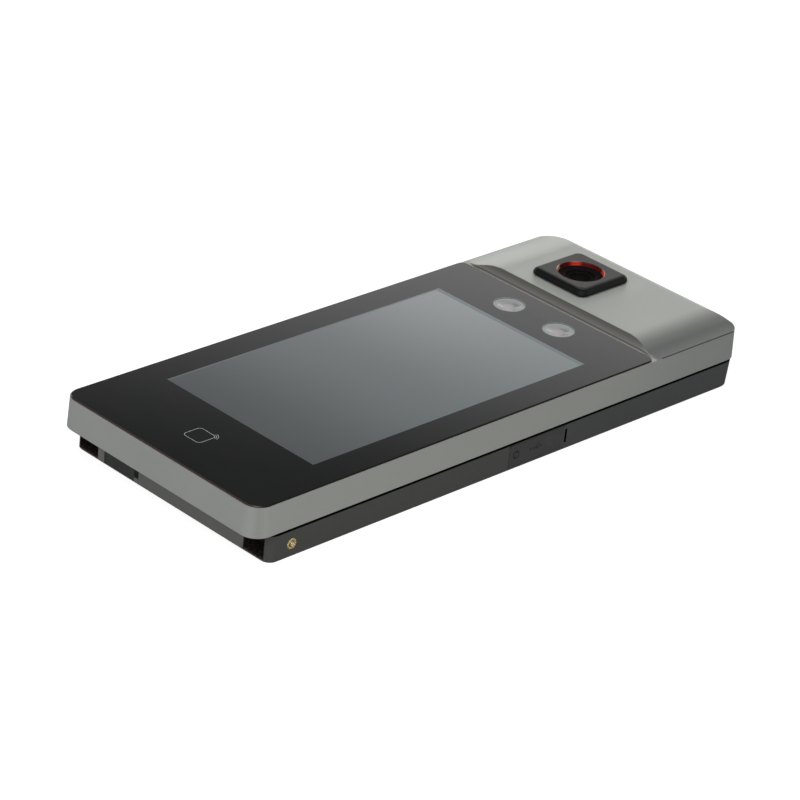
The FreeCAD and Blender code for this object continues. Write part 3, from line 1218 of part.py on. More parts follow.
def build_microphone_boot():
    """Rubber sleeve that seals the microphone to the left wall round its hole."""
    end_x = MIC_X + MIC_BOOT[1]
    sleeve = rod_x(MIC_X, end_x, MIC_Y, MIC_Z, MIC_D / 2 + MIC_SKIN)
    return sleeve.cut(rod_x(MIC_X, end_x, MIC_Y, MIC_Z, MIC_D / 2))


# ---------------------------------------------------------------- tamper switch
def build_tamper_button():
    """Plunger behind the rear face: tip, flange and stem."""
    flange_d, flange_thick = TAMPER_FLANGE
    flange_top = Z_TAMPER_FLANGE + flange_thick
    tip = rod(*TAMPER_SPOT, TAMPER_D / 2, TAMPER_SINK, Z_TAMPER_FLANGE)
    flange = rod(*TAMPER_SPOT, flange_d / 2, Z_TAMPER_FLANGE, flange_top)
    stem = rod(*TAMPER_SPOT, TAMPER_STEM_D / 2, flange_top, TAMPER_SWITCH_Z + TAMPER_STEM_IN)
    return joined([tip, flange, stem])


def build_tamper_switch():
    """Switch body on its two ribs, with the hole that the stem moves in."""
    width, depth, height = TAMPER_SWITCH
    body = block(*TAMPER_SPOT, width, depth, TAMPER_SWITCH_Z, TAMPER_SWITCH_Z + height)
    hole_top = TAMPER_SWITCH_Z + TAMPER_STEM_IN + TAMPER_TRAVEL + BLIND_END
    return body.cut(rod(*TAMPER_SPOT, TAMPER_STEM_D / 2 + SLIP, TAMPER_SWITCH_Z, hole_top))


def build_tamper_spring():
    """Return spring round the stem, as the sleeve that it fills."""
    flange_d, flange_thick = TAMPER_FLANGE
    return tube(*TAMPER_SPOT, flange_d / 2 - TAMPER_SPRING_WALL, TAMPER_STEM_D / 2 + SLIP,
                Z_TAMPER_FLANGE + flange_thick, TAMPER_SWITCH_Z)


# ---------------------------------------------------------------- all pieces
PIECES = {
    "front_frame": build_front_frame,
    "front_glass": build_front_glass,
    "glass_tape": build_glass_tape,
    "left_lamp_lens": lambda: lamp_lens(-1),
    "right_lamp_lens": lambda: lamp_lens(1),
    "lamp_leds": build_lamp_leds,
    "lcd_cell": build_lcd_cell,
    "backlight_unit": build_backlight,
    "lcd_tray": build_lcd_tray,
    "card_antenna": build_card_antenna,
    "camera_board": build_camera_board,
    "camera_bracket": build_camera_bracket,
    "visible_camera": lambda: camera_module(-1),
    "infrared_camera": lambda: camera_module(1),
    "display_ribbon": build_display_ribbon,
    "display_connector": build_display_connector,
    "camera_ribbon": build_camera_ribbon,
    "camera_connector": build_camera_connector,
    "thermal_bezel": build_thermal_bezel,
    "accent_ring": build_accent_ring,
    "lens_barrel": build_lens_barrel,
    "thermal_lens": build_thermal_lens,
    "thermal_core": build_thermal_core,
    "thermal_sensor": build_thermal_sensor,
    "thermal_board": build_thermal_board,
    "shutter_blade": build_shutter_blade,
    "rear_shell": build_rear_shell,
    "case_seal": build_case_seal,
    "case_screws": build_case_screws,
    "left_side_insert": lambda: side_insert(-1),
    "right_side_insert": lambda: side_insert(1),
    "side_service_cover": build_side_cover,
    "cover_screw": build_cover_screw,
    "side_cover_anchor": build_side_cover_anchor,
    "side_port_block": build_side_port_block,
    "reset_button": build_reset_button,
    "end_service_cover": build_end_cover,
    "usb_socket": build_usb_socket,
    "usb_board": build_usb_board,
    "main_board": build_main_board,
    "board_screws": build_board_screws,
    "network_jack": build_network_jack,
    "signal_terminal": lambda: terminal_block(*SIGNAL_TERMINAL),
    "power_terminal": lambda: terminal_block(*POWER_TERMINAL),
    "processor_shield": build_processor_shield,
    "door_relay": lambda: on_board(RELAY),
    "clock_cell": build_clock_cell,
    "cell_holder": build_cell_holder,
    "speaker_gasket": build_speaker_gasket,
    "speaker_basket": build_speaker_basket,
    "speaker_cone": build_speaker_cone,
    "microphone": build_microphone,
    "microphone_boot": build_microphone_boot,
    "tamper_button": build_tamper_button,
    "tamper_switch": build_tamper_switch,
    "tamper_spring": build_tamper_spring,
}

for node, maker in PIECES.items():
    save(node, maker())
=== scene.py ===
# %% [markdown]
# # A face and temperature terminal lying on its back
# The construction model brings every housing, board and screw at its real size. This lesson gives
# those pieces their finishes, adds the small things that a drawing office leaves out, and lights
# the result on a white table. Everything stays in metres and in the product's own frame: X to the
# right, Y towards the head and Z out of the front.

import json
import math

import bmesh
import bpy
from mathutils import Matrix, Vector


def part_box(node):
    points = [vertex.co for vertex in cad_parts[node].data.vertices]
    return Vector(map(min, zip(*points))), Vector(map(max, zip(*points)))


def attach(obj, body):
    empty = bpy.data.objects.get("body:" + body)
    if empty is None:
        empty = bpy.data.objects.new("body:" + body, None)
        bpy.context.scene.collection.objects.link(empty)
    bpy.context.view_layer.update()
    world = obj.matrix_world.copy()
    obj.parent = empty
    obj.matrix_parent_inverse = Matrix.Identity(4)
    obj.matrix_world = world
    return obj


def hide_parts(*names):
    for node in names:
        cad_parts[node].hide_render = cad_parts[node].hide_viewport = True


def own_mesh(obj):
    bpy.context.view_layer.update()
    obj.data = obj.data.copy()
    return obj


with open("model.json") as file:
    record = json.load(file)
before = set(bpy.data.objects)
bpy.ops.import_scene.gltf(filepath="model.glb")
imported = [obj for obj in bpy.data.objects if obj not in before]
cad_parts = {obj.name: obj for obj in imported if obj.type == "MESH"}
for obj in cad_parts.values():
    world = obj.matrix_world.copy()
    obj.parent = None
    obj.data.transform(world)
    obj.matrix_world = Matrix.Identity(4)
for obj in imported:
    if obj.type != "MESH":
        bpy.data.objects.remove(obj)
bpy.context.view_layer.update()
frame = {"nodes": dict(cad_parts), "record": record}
MM = 0.001
print("pieces in the frame:", len(frame["nodes"]))

# %% [markdown]
# ## Camera
# A long lens from about 1.4 m keeps the long sides of the product nearly parallel. The camera
# could be tracked to an empty, but it is also rolled a little, so its three axes are worked out
# here from azimuth, elevation and roll, and set as one matrix.

# %% Camera
EYE = Vector((0.82536, -0.89877, 0.62966))
AZIMUTH = math.radians(42.79)
ELEVATION = math.radians(27.05)
ROLL = math.radians(6.23)
LENS = 148.94

level_right = Vector((math.cos(AZIMUTH), math.sin(AZIMUTH), 0))
forward = Vector((-math.sin(AZIMUTH) * math.cos(ELEVATION),
                  math.cos(AZIMUTH) * math.cos(ELEVATION),
                  -math.sin(ELEVATION)))
level_up = level_right.cross(forward)
right = math.cos(ROLL) * level_right + math.sin(ROLL) * level_up
up = right.cross(forward)
camera = bpy.data.objects.new("table_camera", bpy.data.cameras.new("table_camera"))
camera.data.lens = LENS
camera.matrix_world = Matrix.Translation(EYE) @ Matrix((right, up, -forward)).transposed().to_4x4()
bpy.context.collection.objects.link(camera)
bpy.context.scene.camera = camera
bpy.context.scene.view_settings.view_transform = "Standard"
print("camera to origin:", round(EYE.length, 3), "m")

# %% [markdown]
# ## Shader sums as Python sums
# A finish is mostly arithmetic on a few fields: where a point is, which way it faces, how much
# grain lies there. Wiring that by hand hides the idea, so `Wire` stands for one socket and turns
# `+ - * /` into Math nodes. A mask is a wire that runs from 0 to 1: `rise` and `within` make one
# from a field, `*` keeps what two masks share and `either` joins them.

# %% Wire
DEGREES = 180 / math.pi


class Wire:
    """One output socket that takes part in Python sums."""

    def __init__(self, bench, socket):
        self.bench = bench
        self.socket = socket

    def sum_of(self, operation, *terms):
        return self.bench.node("ShaderNodeMath", {"operation": operation}, dict(enumerate(terms)))

    def __add__(self, other):
        return self.sum_of("ADD", self, other)

    def __sub__(self, other):
        return self.sum_of("SUBTRACT", self, other)

    def __rsub__(self, other):
        return self.sum_of("SUBTRACT", other, self)

    def __mul__(self, other):
        return self.sum_of("MULTIPLY", self, other)

    def __truediv__(self, other):
        return self.sum_of("DIVIDE", self, other)

    def __abs__(self):
        return self.sum_of("ABSOLUTE", self)

    def either(self, other):
        return self.sum_of("MAXIMUM", self, other)

    def sine(self):
        return self.sum_of("SINE", self)

    def waves(self):
        """Even waves between 0 and 1 as a field of radians grows."""
        return self.sine() * 0.5 + 0.5

    def bearing(self, other):
        """Degrees from the axis of other round towards the axis of this wire."""
        return self.sum_of("ARCTAN2", self, other) * DEGREES

    def rise(self, start, end):
        """0 before start, 1 after end, with a soft slope between."""
        return self.bench.node("ShaderNodeMapRange", {"interpolation_type": "SMOOTHSTEP"},
                               {"Value": self, "From Min": start, "From Max": end})

    def within(self, low, high, soft):
        """1 between low and high, with each border this soft."""
        above = self.rise(low - soft / 2, low + soft / 2)
        beyond = self.rise(high - soft / 2, high + soft / 2)
        return above * (1 - beyond)

    __radd__ = __add__
    __rmul__ = __mul__


# %% [markdown]
# ## A bench for node trees
# `Bench` owns a node tree. Its `node` makes any node, with its settings first and its sockets
# after, and the rest are short names for what comes up most. `coats` builds a colour as a painter
# does: it starts from one colour and lays the next over it wherever a mask says.

# %% Bench
class Bench:
    """A node tree and the ways in which this lesson adds to it."""

    def __init__(self, tree):
        self.tree = tree

    def node(self, kind, settings=None, sockets=None, output=0):
        made = self.tree.nodes.new(kind)
        for name, value in (settings or {}).items():
            setattr(made, name, value)
        for name, value in (sockets or {}).items():
            self.feed(made.inputs[name], value)
        return Wire(self, made.outputs[output])

    def feed(self, socket, value):
        if isinstance(value, Wire):
            self.tree.links.new(value.socket, socket)
        else:
            socket.default_value = value

    def mix(self, amount, low, high):
        """Colour between two colours."""
        return self.node("ShaderNodeMix", {"data_type": "RGBA"}, {0: amount, 6: low, 7: high}, 2)

    def coats(self, colour, *masked):
        """A colour under coats of (mask, colour), the last one on top."""
        for mask, paint in masked:
            colour = self.mix(mask, colour, paint)
        return colour

    def vector(self, operation, *terms, output=0):
        return self.node("ShaderNodeVectorMath", {"operation": operation},
                         dict(enumerate(terms)), output)

    def split(self, vector):
        return [self.node("ShaderNodeSeparateXYZ", None, {0: vector}, axis) for axis in range(3)]


# %% [markdown]
# ## What every finish needs
# A node of the frame keeps its place in its mesh, so Object coordinates are the product's own
# coordinates. That makes it easy to put a print, a groove or a worn edge where the drawing says.
# `Finish` opens a material with the Principled shader and offers noise at a size in millimetres, a
# relief, the way a surface faces and the distance from an upright axis.

# %% Finish
class Finish(Bench):
    """A material that is painted in product coordinates."""

    def __init__(self, name, **constants):
        self.material = bpy.data.materials.new(name)
        self.material.use_nodes = True
        super().__init__(self.material.node_tree)
        self.surface = self.tree.nodes["Principled BSDF"]
        self.place = self.node("ShaderNodeTexCoord", output="Object")
        self.x, self.y, self.z = self.split(self.place)
        for socket, value in constants.items():
            self.surface.inputs[socket.replace("_", " ")].default_value = value

    def paint(self, **wires):
        """Feeds the shader's sockets, with an underscore for a space in a socket's name."""
        for socket, value in wires.items():
            self.feed(self.surface.inputs[socket.replace("_", " ")], value)
        print(f"finish {self.material.name}: {len(self.tree.nodes)} nodes")
        return self.material

    def in_mm(self):
        """The point's three coordinates in millimetres."""
        return self.x / MM, self.y / MM, self.z / MM

    def noise(self, size_mm, detail=2.0, stretch=(1, 1, 1), rough=0.5):
        """Noise whose blobs are about this size, drawn out along the axes by stretch."""
        scale = tuple(1 / (MM * size_mm * longer) for longer in stretch)
        return self.node("ShaderNodeTexNoise", None,
                         {"Vector": self.vector("MULTIPLY", self.place, scale),
                          "Scale": 1.0, "Detail": detail, "Roughness": rough})

    def relief(self, height, depth_mm, strength=1.0):
        """Normal of a surface that the height field lifts by up to depth_mm."""
        return self.node("ShaderNodeBump", None,
                         {"Height": height, "Distance": depth_mm * MM, "Strength": strength})

    def facing(self):
        """The three parts of the surface direction, in product axes."""
        return self.split(self.node("ShaderNodeNewGeometry", output="Normal"))

    def radius_from(self, x_mm, y_mm):
        """Distance from an upright axis, in millimetres."""
        off = self.vector("SUBTRACT", self.place, (x_mm * MM, y_mm * MM, 0))
        flat = self.vector("MULTIPLY", off, (1, 1, 0))
        return self.vector("LENGTH", flat, output="Value") / MM


def grey(value, warm=0.0):
    """Colour of one lightness, a little warmer or cooler."""
    return (value * (1 + warm), value, value * (1 - warm), 1.0)


def middle(node):
    low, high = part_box(node)
    return (low + high) / 2


# %% [markdown]
# ## Housing metal
# The front frame is a die casting, brushed along its length and clear coated, so it is a soft
# metal and not a mirror. Fine streaks run along the sides and over the head, and turn at the near
# and far ends, where the belt ran across. Streaks from an image would need unwrapping, so they are
# noise drawn out sixty times along the brush, chosen by the way the surface faces.

# %% Brush streaks
frame_low, frame_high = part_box("front_frame")
block_low, block_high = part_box("thermal_bezel")
_, glass_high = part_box("front_glass")
GLASS_PROUD = 0.6
LAND = glass_high.z / MM - GLASS_PROUD
HEAD_TOP = frame_high.z / MM
BRUSH = 60


def brush_streaks(metal, side_y):
    """Grain along the product, and across it where the surface faces an end."""
    along = metal.noise(0.16, 3.0, (1, BRUSH, 1), 0.6)
    across = metal.noise(0.16, 3.0, (BRUSH, 1, 1), 0.6)
    at_end = abs(side_y).rise(0.6, 0.8)
    return along * (1 - at_end) + across * at_end


print("land round the glass at", round(LAND, 2), "mm, head up to", round(HEAD_TOP, 2), "mm")

# %% [markdown]
# ## Painted shade on the walls and corners of the frame
# The right part of the head and of the land beside it is painted darker, the right wall is painted
# duller and cooler towards the head, the rounded near corner is painted dark, and the near end is
# painted a shade lower than the sides. These are painted shade, and the cooler tint of the right
# wall is a painted reflection. Each of these is a mask with a colour. A mask is made from places,
# in millimetres, and from the three parts of the surface direction, which run from -1 to 1.

# %% Wall coats
FACES_UP = (0.5, 0.8)
FACES_RIGHT = (0.6, 0.9)
FACES_NEAR = (-0.6, -0.95)
HEAD_DARKENS_X = (38, 50)
LAND_DARKENS_X = (44, 51)
WALL_COOLS_Y = (40, 141)


def painted_wall_shade(metal, tone, place, facing):
    """Painted shade for the right of the head and land, the right wall, the near corner and end.
    """
    x, y, z = place
    side_x, side_y, up = facing
    # Painted shade: these masks darken the right of the head and land, make the right wall duller
    # and cooler, darken the near corner and lower the near end.
    on_head = z.rise(LAND + 0.3, HEAD_TOP - 0.6) * up.rise(*FACES_UP)
    past_glass = y - glass_high.y / MM
    at_right = past_glass.rise(0, 2) * up.rise(0.12, 0.3)
    corner = side_x.within(0.2, 0.9, 0.3) * side_y.within(-0.97, -0.3, 0.25)
    right_wall = side_x.rise(*FACES_RIGHT)
    near_end = metal.mix(tone, (0.35, 0.362, 0.348, 1), (0.48, 0.492, 0.472, 1))
    return ((on_head * x.rise(*HEAD_DARKENS_X), (0.26, 0.268, 0.258, 1)),
            (at_right * x.rise(*LAND_DARKENS_X), (0.208, 0.215, 0.208, 1)),
            (right_wall * 0.35, (0.40, 0.412, 0.390, 1)),
            (corner * 0.7, (0.33, 0.34, 0.323, 1)),
            (right_wall * y.rise(*WALL_COOLS_Y) * 0.6, (0.32, 0.348, 0.345, 1)),
            (side_y.rise(*FACES_NEAR), near_end))


# %% [markdown]
# ## Slope of the head
# The raised head comes down to the glass in an S-shaped slope. Its painted shade is warm and
# deepens as it climbs. Two thin lines lie just past the glass: a painted highlight on the land,
# and a painted dark line where the slope begins. A painted dark crease marks the place where the
# slope runs out into the right wall. Real metal has this shading and these lines from the room
# that it reflects, and a plain studio has no such room, so they are painted.

# %% Head coats
LIGHT_LINE = (-0.1, 0.85)
DARK_LINE = (1.1, 1.7)
CREASE_Y = (3.5, 4.5)
CREASE_X = (56.5, 56.9)
CREASE_Z = (LAND - 0.35, LAND + 0.05)


def painted_head_shade(metal, place, facing):
    """Painted shade for the slope that faces the glass, a painted highlight line and a painted
    dark line at its foot, and a painted dark crease.
    """
    x, y, z = place
    _, side_y, up = facing
    past_glass = y - glass_high.y / MM
    slope = side_y.rise(-0.30, -0.45) * up.rise(0.55, 0.70) * z.rise(LAND + 0.02, LAND + 0.10)
    climb = z.rise(LAND + 0.2, HEAD_TOP - 0.4)
    slope_tone = metal.mix(climb, (0.285, 0.281, 0.260, 1), (0.150, 0.147, 0.133, 1))
    highlight_line = past_glass.within(*LIGHT_LINE, 0.1) * up.rise(*FACES_UP)
    dark_line = past_glass.within(*DARK_LINE, 0.2) * slope
    crease_shade = past_glass.rise(*CREASE_Y) * x.rise(*CREASE_X) * z.within(*CREASE_Z, 0.1)
    # Painted shade on the slope, a painted dark line, a painted highlight line and a painted dark
    # crease.
    return ((slope, slope_tone),
            (dark_line, (0.13, 0.13, 0.12, 1)),
            (highlight_line, (0.46, 0.46, 0.43, 1)),
            (crease_shade, (0.06, 0.06, 0.055, 1)))


# %% [markdown]
# ## The whole frame
# Round the thermal block the casting is less mirror-like, because a mirror there would show little
# but the black side of the block, and its colour there is a little darker. The lowest edge, which
# looks into the open line above the rear shell, is painted dark as painted shade. What is left is
# to lay all the coats over the brushed tone.

# %% Frame metal
BLOCK_ZONE = 5.5
BLOCK_SOFT = 9
SHADED_EDGE = (0.12, 0.02)


def round_block(place, up):
    """1 on the flat metal beside the thermal block, fading away from it."""
    x, y, _ = place
    mask = up.rise(0.9, 0.97)
    for axis, low, high in ((x, block_low.x, block_high.x), (y, block_low.y, block_high.y)):
        mask = mask * axis.within(low / MM - BLOCK_ZONE, high / MM + BLOCK_ZONE, BLOCK_SOFT)
    return mask


def brushed_frame():
    metal = Finish("frame_metal", Coat_Weight=0.1, Coat_Roughness=0.35)
    place, facing = metal.in_mm(), metal.facing()
    streaks = brush_streaks(metal, facing[1])
    tone = streaks * 0.45 + metal.noise(26, 2.0) * 0.3 + metal.noise(0.09, 1.0) * 0.25
    by_block = round_block(place, facing[2])
    # Painted shade on the lowest edge, which looks into the open line above the rear shell.
    shaded_underside = place[2].rise(*(frame_low.z / MM + height for height in SHADED_EDGE))
    # Brushed tone under the painted shade of the walls and head and the painted shade of the
    # lowest edge.
    colour = metal.coats(
        metal.mix(tone, (0.415, 0.427, 0.394, 1), (0.565, 0.578, 0.531, 1)),
        *painted_wall_shade(metal, tone, place, facing),
        *painted_head_shade(metal, place, facing),
        (by_block * 0.2, (0.30, 0.308, 0.290, 1)),
        (shaded_underside, (0.02, 0.02, 0.02, 1)))
    return metal.paint(
        Metallic=0.6 - by_block * 0.45,
        Base_Color=colour,
        Roughness=0.33 + streaks * 0.08 + metal.noise(5, 2.0) * 0.04,
        Normal=metal.relief(streaks, 0.004, 0.35))


# %% [markdown]
# ## Display behind the glass
# The display is off, so its window is a blue grey, with a painted reflection over it: dark at the
# near end, lighter towards the head, and darker again to the right there. A cold grey border along
# its left and far sides, where the panel ends, is painted reflection too. A faint cloud and the
# finest cells keep it from being one flat tone.

# %% Display tone
VIEW_HALF = 42.96
VIEW_Y = (-98.3, 55.9)
LEFT_BORDER = (1.0, 0.7)
FAR_BORDER = (2.6, 2.1)
LAMP_X = 14.5
LAMP_Y = middle("right_lamp_lens").y / MM


def display_tone_and_reflection(glass, x, y, view):
    # Painted reflection: dark at the near end, lighter towards the head, darker to the right
    # there.
    near_part = glass.mix(y.rise(-100, -20), (0.076, 0.086, 0.086, 1), (0.132, 0.151, 0.157, 1))
    far_part = glass.mix(x.rise(-VIEW_HALF, VIEW_HALF),
                         (0.262, 0.287, 0.286, 1), (0.192, 0.216, 0.219, 1))
    cells = glass.noise(0.12, 1.0) * 0.06 + glass.noise(60, 1.0) * 0.08
    # Painted reflection: a cold grey border along the left and far sides of the window.
    at_left = x.rise(*(-VIEW_HALF + border for border in LEFT_BORDER))
    at_far = y.rise(*(VIEW_Y[1] - border for border in FAR_BORDER))
    return glass.coats(
        near_part,
        (y.rise(-30, 58), far_part),
        (cells, (0.26, 0.28, 0.29, 1)),
        (view * at_left.either(at_far) * 0.85, (0.125, 0.160, 0.172, 1)))


print("display window:", 2 * VIEW_HALF, "by", round(VIEW_Y[1] - VIEW_Y[0], 1), "mm")

# %% [markdown]
# ## Cover glass
# One sheet of glass is printed black on its rear except over the display. Two small rounds between
# the lamps let the cameras look through, so they are blacker still. A narrow pale ring round each
# lamp is a painted highlight. Printing by place is simpler than modelling ink. The polish is in
# the roughness, with the faintest wipe marks. The ground edge is almost black, and its warm brown
# at the near end is a painted reflection.

# %% Printed glass
CAMERA_X = 4.6
CAMERA_HOLE = (3.1, 2.9)
LAMP_RIM = (7.05, 6.85)
PRINT_SOFT = 0.12


def printed_glass():
    glass = Finish("black_glass", IOR=1.5, Specular_IOR_Level=0.5)
    x, y, _ = glass.in_mm()
    across, along, up = glass.facing()
    view = x.within(-VIEW_HALF, VIEW_HALF, PRINT_SOFT) * y.within(*VIEW_Y, PRINT_SOFT)
    left_eye, right_eye = (glass.radius_from(side * CAMERA_X, LAMP_Y).rise(*CAMERA_HOLE)
                           for side in (-1, 1))
    # Painted highlight: a narrow pale ring round each lamp.
    left_rim_highlight, right_rim_highlight = (glass.radius_from(side * LAMP_X, LAMP_Y).rise(*LAMP_RIM)
                           for side in (-1, 1))
    ground_edge = up.rise(0.85, 0.35).either(across.rise(0.4, 0.6) * up.rise(0.95, 0.8))
    # The ground edge is nearly black; its warm brown at the near end is a painted reflection.
    edge_tone_and_reflection = glass.mix(along.rise(-0.3, -0.7),
                          (0.010, 0.007, 0.005, 1), (0.12, 0.062, 0.045, 1))
    colour = glass.coats(
        (0.0085, 0.0088, 0.0090, 1),
        (left_eye.either(right_eye), (0.003, 0.0028, 0.0035, 1)),
        (left_rim_highlight, (0.24, 0.27, 0.265, 1)),
        (right_rim_highlight, (0.24, 0.27, 0.265, 1)),
        (view, display_tone_and_reflection(glass, x, y, view)),
        (ground_edge, edge_tone_and_reflection))
    wipe = glass.noise(9, 3.0, (3, 1, 1))
    return glass.paint(
        Metallic=ground_edge * 0.7,
        Base_Color=colour,
        Roughness=0.04 + wipe * 0.03 + view * 0.03 + ground_edge * 0.3,
        Normal=glass.relief(glass.noise(55, 1.0), 0.01, 0.15))


# %% [markdown]
# ## Lamp lenses
# Each lamp is a moulded collimator: a finely frosted rim and a hollow in its middle that throws
# the light of the LED. Seen when it is off, the rim is a translucent grey, and its bright moulded
# edge is a painted highlight. The hollow, a little off the middle, is a pale pinkish grey, painted
# lighter towards its near side as a painted highlight. A true refracting body would need many
# bounces for a disc of 13 mm, so the finish paints those rings by their distance from the middle.

# %% Lamp lens
HOLLOW_OFF = (0.6, -0.7)
HOLLOW_RADIUS = (5.1, 4.3)
MOULDED_EDGE = (6.1, 6.5)


def lamp_lens(side):
    lens = Finish(f"lamp_clear_{'right' if side > 0 else 'left'}",
                  IOR=1.49, Coat_Weight=0.3, Coat_Roughness=0.08)
    x, y, _ = lens.in_mm()
    radius = lens.radius_from(side * LAMP_X, LAMP_Y)
    off_x, off_y = HOLLOW_OFF
    hollow = lens.radius_from(side * LAMP_X + off_x, LAMP_Y + off_y).rise(*HOLLOW_RADIUS)
    # Painted highlight on the moulded edge, and the hollow painted lighter towards its near side.
    edge_highlight = radius.within(*MOULDED_EDGE, 0.25)
    near_side = ((LAMP_Y - y) - (x - side * LAMP_X) * 0.6).rise(-6, 5)
    mould_lines = (radius * 9).waves()
    frost = lens.noise(0.25, 2.0)
    rim_tone = lens.mix(frost * 0.5 + mould_lines * 0.3,
                        (0.27, 0.298, 0.294, 1), (0.365, 0.394, 0.390, 1))
    bowl_tone = lens.mix(near_side, (0.25, 0.245, 0.252, 1), (0.43, 0.40, 0.415, 1))
    return lens.paint(
        Base_Color=lens.coats(rim_tone, (hollow, bowl_tone),
                              (edge_highlight * 0.35, (0.40, 0.42, 0.42, 1))),
        Roughness=0.3 - hollow * 0.12 + frost * 0.1,
        Normal=lens.relief(mould_lines, 0.02, 0.25))


# %% [markdown]
# ## Moulded plastics
# The shell, the thermal block and the small modules are all moulded, but their tools are
# different: coarse spark erosion on the shell, a fine satin on the block, nearly smooth on the
# modules. One function makes the plain ones from a tone, a grain size, a depth and a roughness.

# %% Moulded plastic
def cloudy(plastic, pits):
    """Slow changes of tone, from the pits of the tool up to a hand's breadth."""
    return pits * 0.35 + plastic.noise(30, 2.0) * 0.35 + plastic.noise(2.5, 2.0) * 0.3


def moulded(name, tone, grain_mm, depth_mm, roughness, warm=0.0, gloss=0.5):
    plastic = Finish(name, IOR=1.5, Specular_IOR_Level=gloss)
    pits = plastic.noise(grain_mm, 3.0, rough=0.65)
    return plastic.paint(
        Base_Color=plastic.mix(cloudy(plastic, pits), grey(tone * 0.75, warm),
                               grey(tone * 1.3, warm)),
        Roughness=roughness - 0.06 + pits * 0.12,
        Normal=plastic.relief(pits, depth_mm, 0.6))


# %% [markdown]
# ## Places on the rear shell that stay dark
# Light hardly enters four places of the shell: its top rim in the open line under the frame, the
# two catch windows at the near corners, the finger notch of the end cover and the pry slot of the
# side cover. Shallow recesses like these come out grey under broad lamps, so each gets a mask by
# place.

# %% Shell places
shell_low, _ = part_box("rear_shell")
OPEN_LINE = 0.9
SHELL_TOP = frame_low.z / MM - OPEN_LINE
NOTCH_X = (-21.4, -18.4)
WINDOW_X = (43.0, 54.4)
PRY_Y = (31.85, 33.05)
PRY_Z = (3.1, 9.45)


def dark_places(plastic):
    """Masks of the top rim, of the catch windows, and of the notch with the pry slot."""
    x, y, z = plastic.in_mm()
    from_end = plastic.y - shell_low.y
    rim = z.rise(SHELL_TOP - 0.5, SHELL_TOP - 0.3)
    notch = x.within(*NOTCH_X, 0.1) * from_end.rise(0.15 * MM, 0.35 * MM)
    notch = notch * (1 - from_end.rise(3.5 * MM, 4.0 * MM)) * z.rise(0.8, 0.95)
    windows = from_end.rise(0.35 * MM, 0.7 * MM) * (1 - from_end.rise(40 * MM, 41 * MM))
    windows = windows * (abs(plastic.x) / MM).within(*WINDOW_X, 0.2) * z.rise(0.5, 1.2)
    pry_slot = y.within(*PRY_Y, 0.05) * x.rise(40, 41) * z.within(*PRY_Z, 0.05)
    return rim, windows, notch.either(pry_slot)


print("shell rim at", round(SHELL_TOP, 2), "mm")

# %% [markdown]
# ## Rear shell
# The skin is painted paler where it faces the near end, and paler still towards the left there,
# as painted light. The long sides go from a warm grey to a colder one at the head, as a painted
# reflection. Inside the windows the plastic is painted a dark speckled brown as painted shade.
# Where nothing should shine, the shader is turned into a metal of almost no colour, because a
# metal reflects only its own colour, while a plastic always keeps a pale gloss.

# %% Rear shell
def rear_shell_black():
    plastic = Finish("shell_black", IOR=1.5, Specular_IOR_Level=0.18)
    pits = plastic.noise(0.32, 3.0, rough=0.65)
    shade = cloudy(plastic, pits)
    x, y, _ = plastic.in_mm()
    # Painted light and reflection: paler at the near end and towards the left there, warm to cold
    # along the sides.
    towards_head = y.rise(-60, 60)
    towards_left = x.rise(-20, -50)
    dark_skin = plastic.mix(towards_head, (0.054, 0.0545, 0.0510, 1), (0.0525, 0.0545, 0.0540, 1))
    pale_skin = plastic.mix(towards_head, (0.080, 0.0805, 0.0750, 1), (0.077, 0.0800, 0.0790, 1))
    dark_end = plastic.mix(towards_left, (0.112, 0.113, 0.108, 1), (0.145, 0.141, 0.136, 1))
    pale_end = plastic.mix(towards_left, (0.172, 0.172, 0.165, 1), (0.222, 0.215, 0.207, 1))
    at_near_end = plastic.facing()[1].rise(-0.93, -0.99)
    # Painted shade inside the catch windows, a dark speckled brown.
    window_shade = plastic.mix(plastic.noise(0.8, 3.0).rise(0.4, 0.7),
                          (0.018, 0.015, 0.012, 1), (0.060, 0.047, 0.039, 1))
    rim, windows, slots = dark_places(plastic)
    return plastic.paint(
        Metallic=rim.either(windows * 0.7).either(slots),
        Base_Color=plastic.coats(plastic.mix(shade, dark_skin, pale_skin),
                                 (at_near_end, plastic.mix(shade, dark_end, pale_end)),
                                 (windows, window_shade),
                                 (rim.either(slots), (0.002, 0.002, 0.002, 1))),
        Roughness=0.45 + pits * 0.12 + rim.either(windows) * 0.38,
        Normal=plastic.relief(pits, 0.03, 0.6))


# %% [markdown]
# ## Thermal block
# The block has a fine satin top inside a rounded, slightly polished edge, and the frame brings the
# shape. The rounded edge is painted nearly black as painted shade. Along the near and right sides
# the painted shade runs a few millimetres further in and cuts off the corner between them, so the
# finish tells the two apart by those distances and by the way they face.

# %% Satin block
SHADED_BAND = (2.4, 3.6)
SHADED_CORNER = (7.5, 9.5)


def satin_block():
    satin = Finish("block_black", IOR=1.5, Specular_IOR_Level=0.25)
    pits = satin.noise(0.16, 3.0, rough=0.65)
    # Painted shade: the rounded edge and a band along the near and right sides are nearly black,
    # the top lighter.
    from_near = (satin.y - block_low.y) / MM
    from_right = (block_high.x - satin.x) / MM
    inner = (from_near.rise(*SHADED_BAND) * from_right.rise(*SHADED_BAND)
             * (from_near + from_right).rise(*SHADED_CORNER))
    face = satin.facing()[2].rise(0.80, 0.99) * inner
    top = satin.mix(pits * 0.6 + satin.noise(8, 2.0) * 0.4,
                    (0.050, 0.051, 0.048, 1), (0.072, 0.073, 0.069, 1))
    return satin.paint(
        Metallic=(1 - face) * 0.5,
        Base_Color=satin.mix(face, grey(0.006), top),
        Roughness=0.42 + pits * 0.1,
        Normal=satin.relief(pits, 0.008, 0.6))


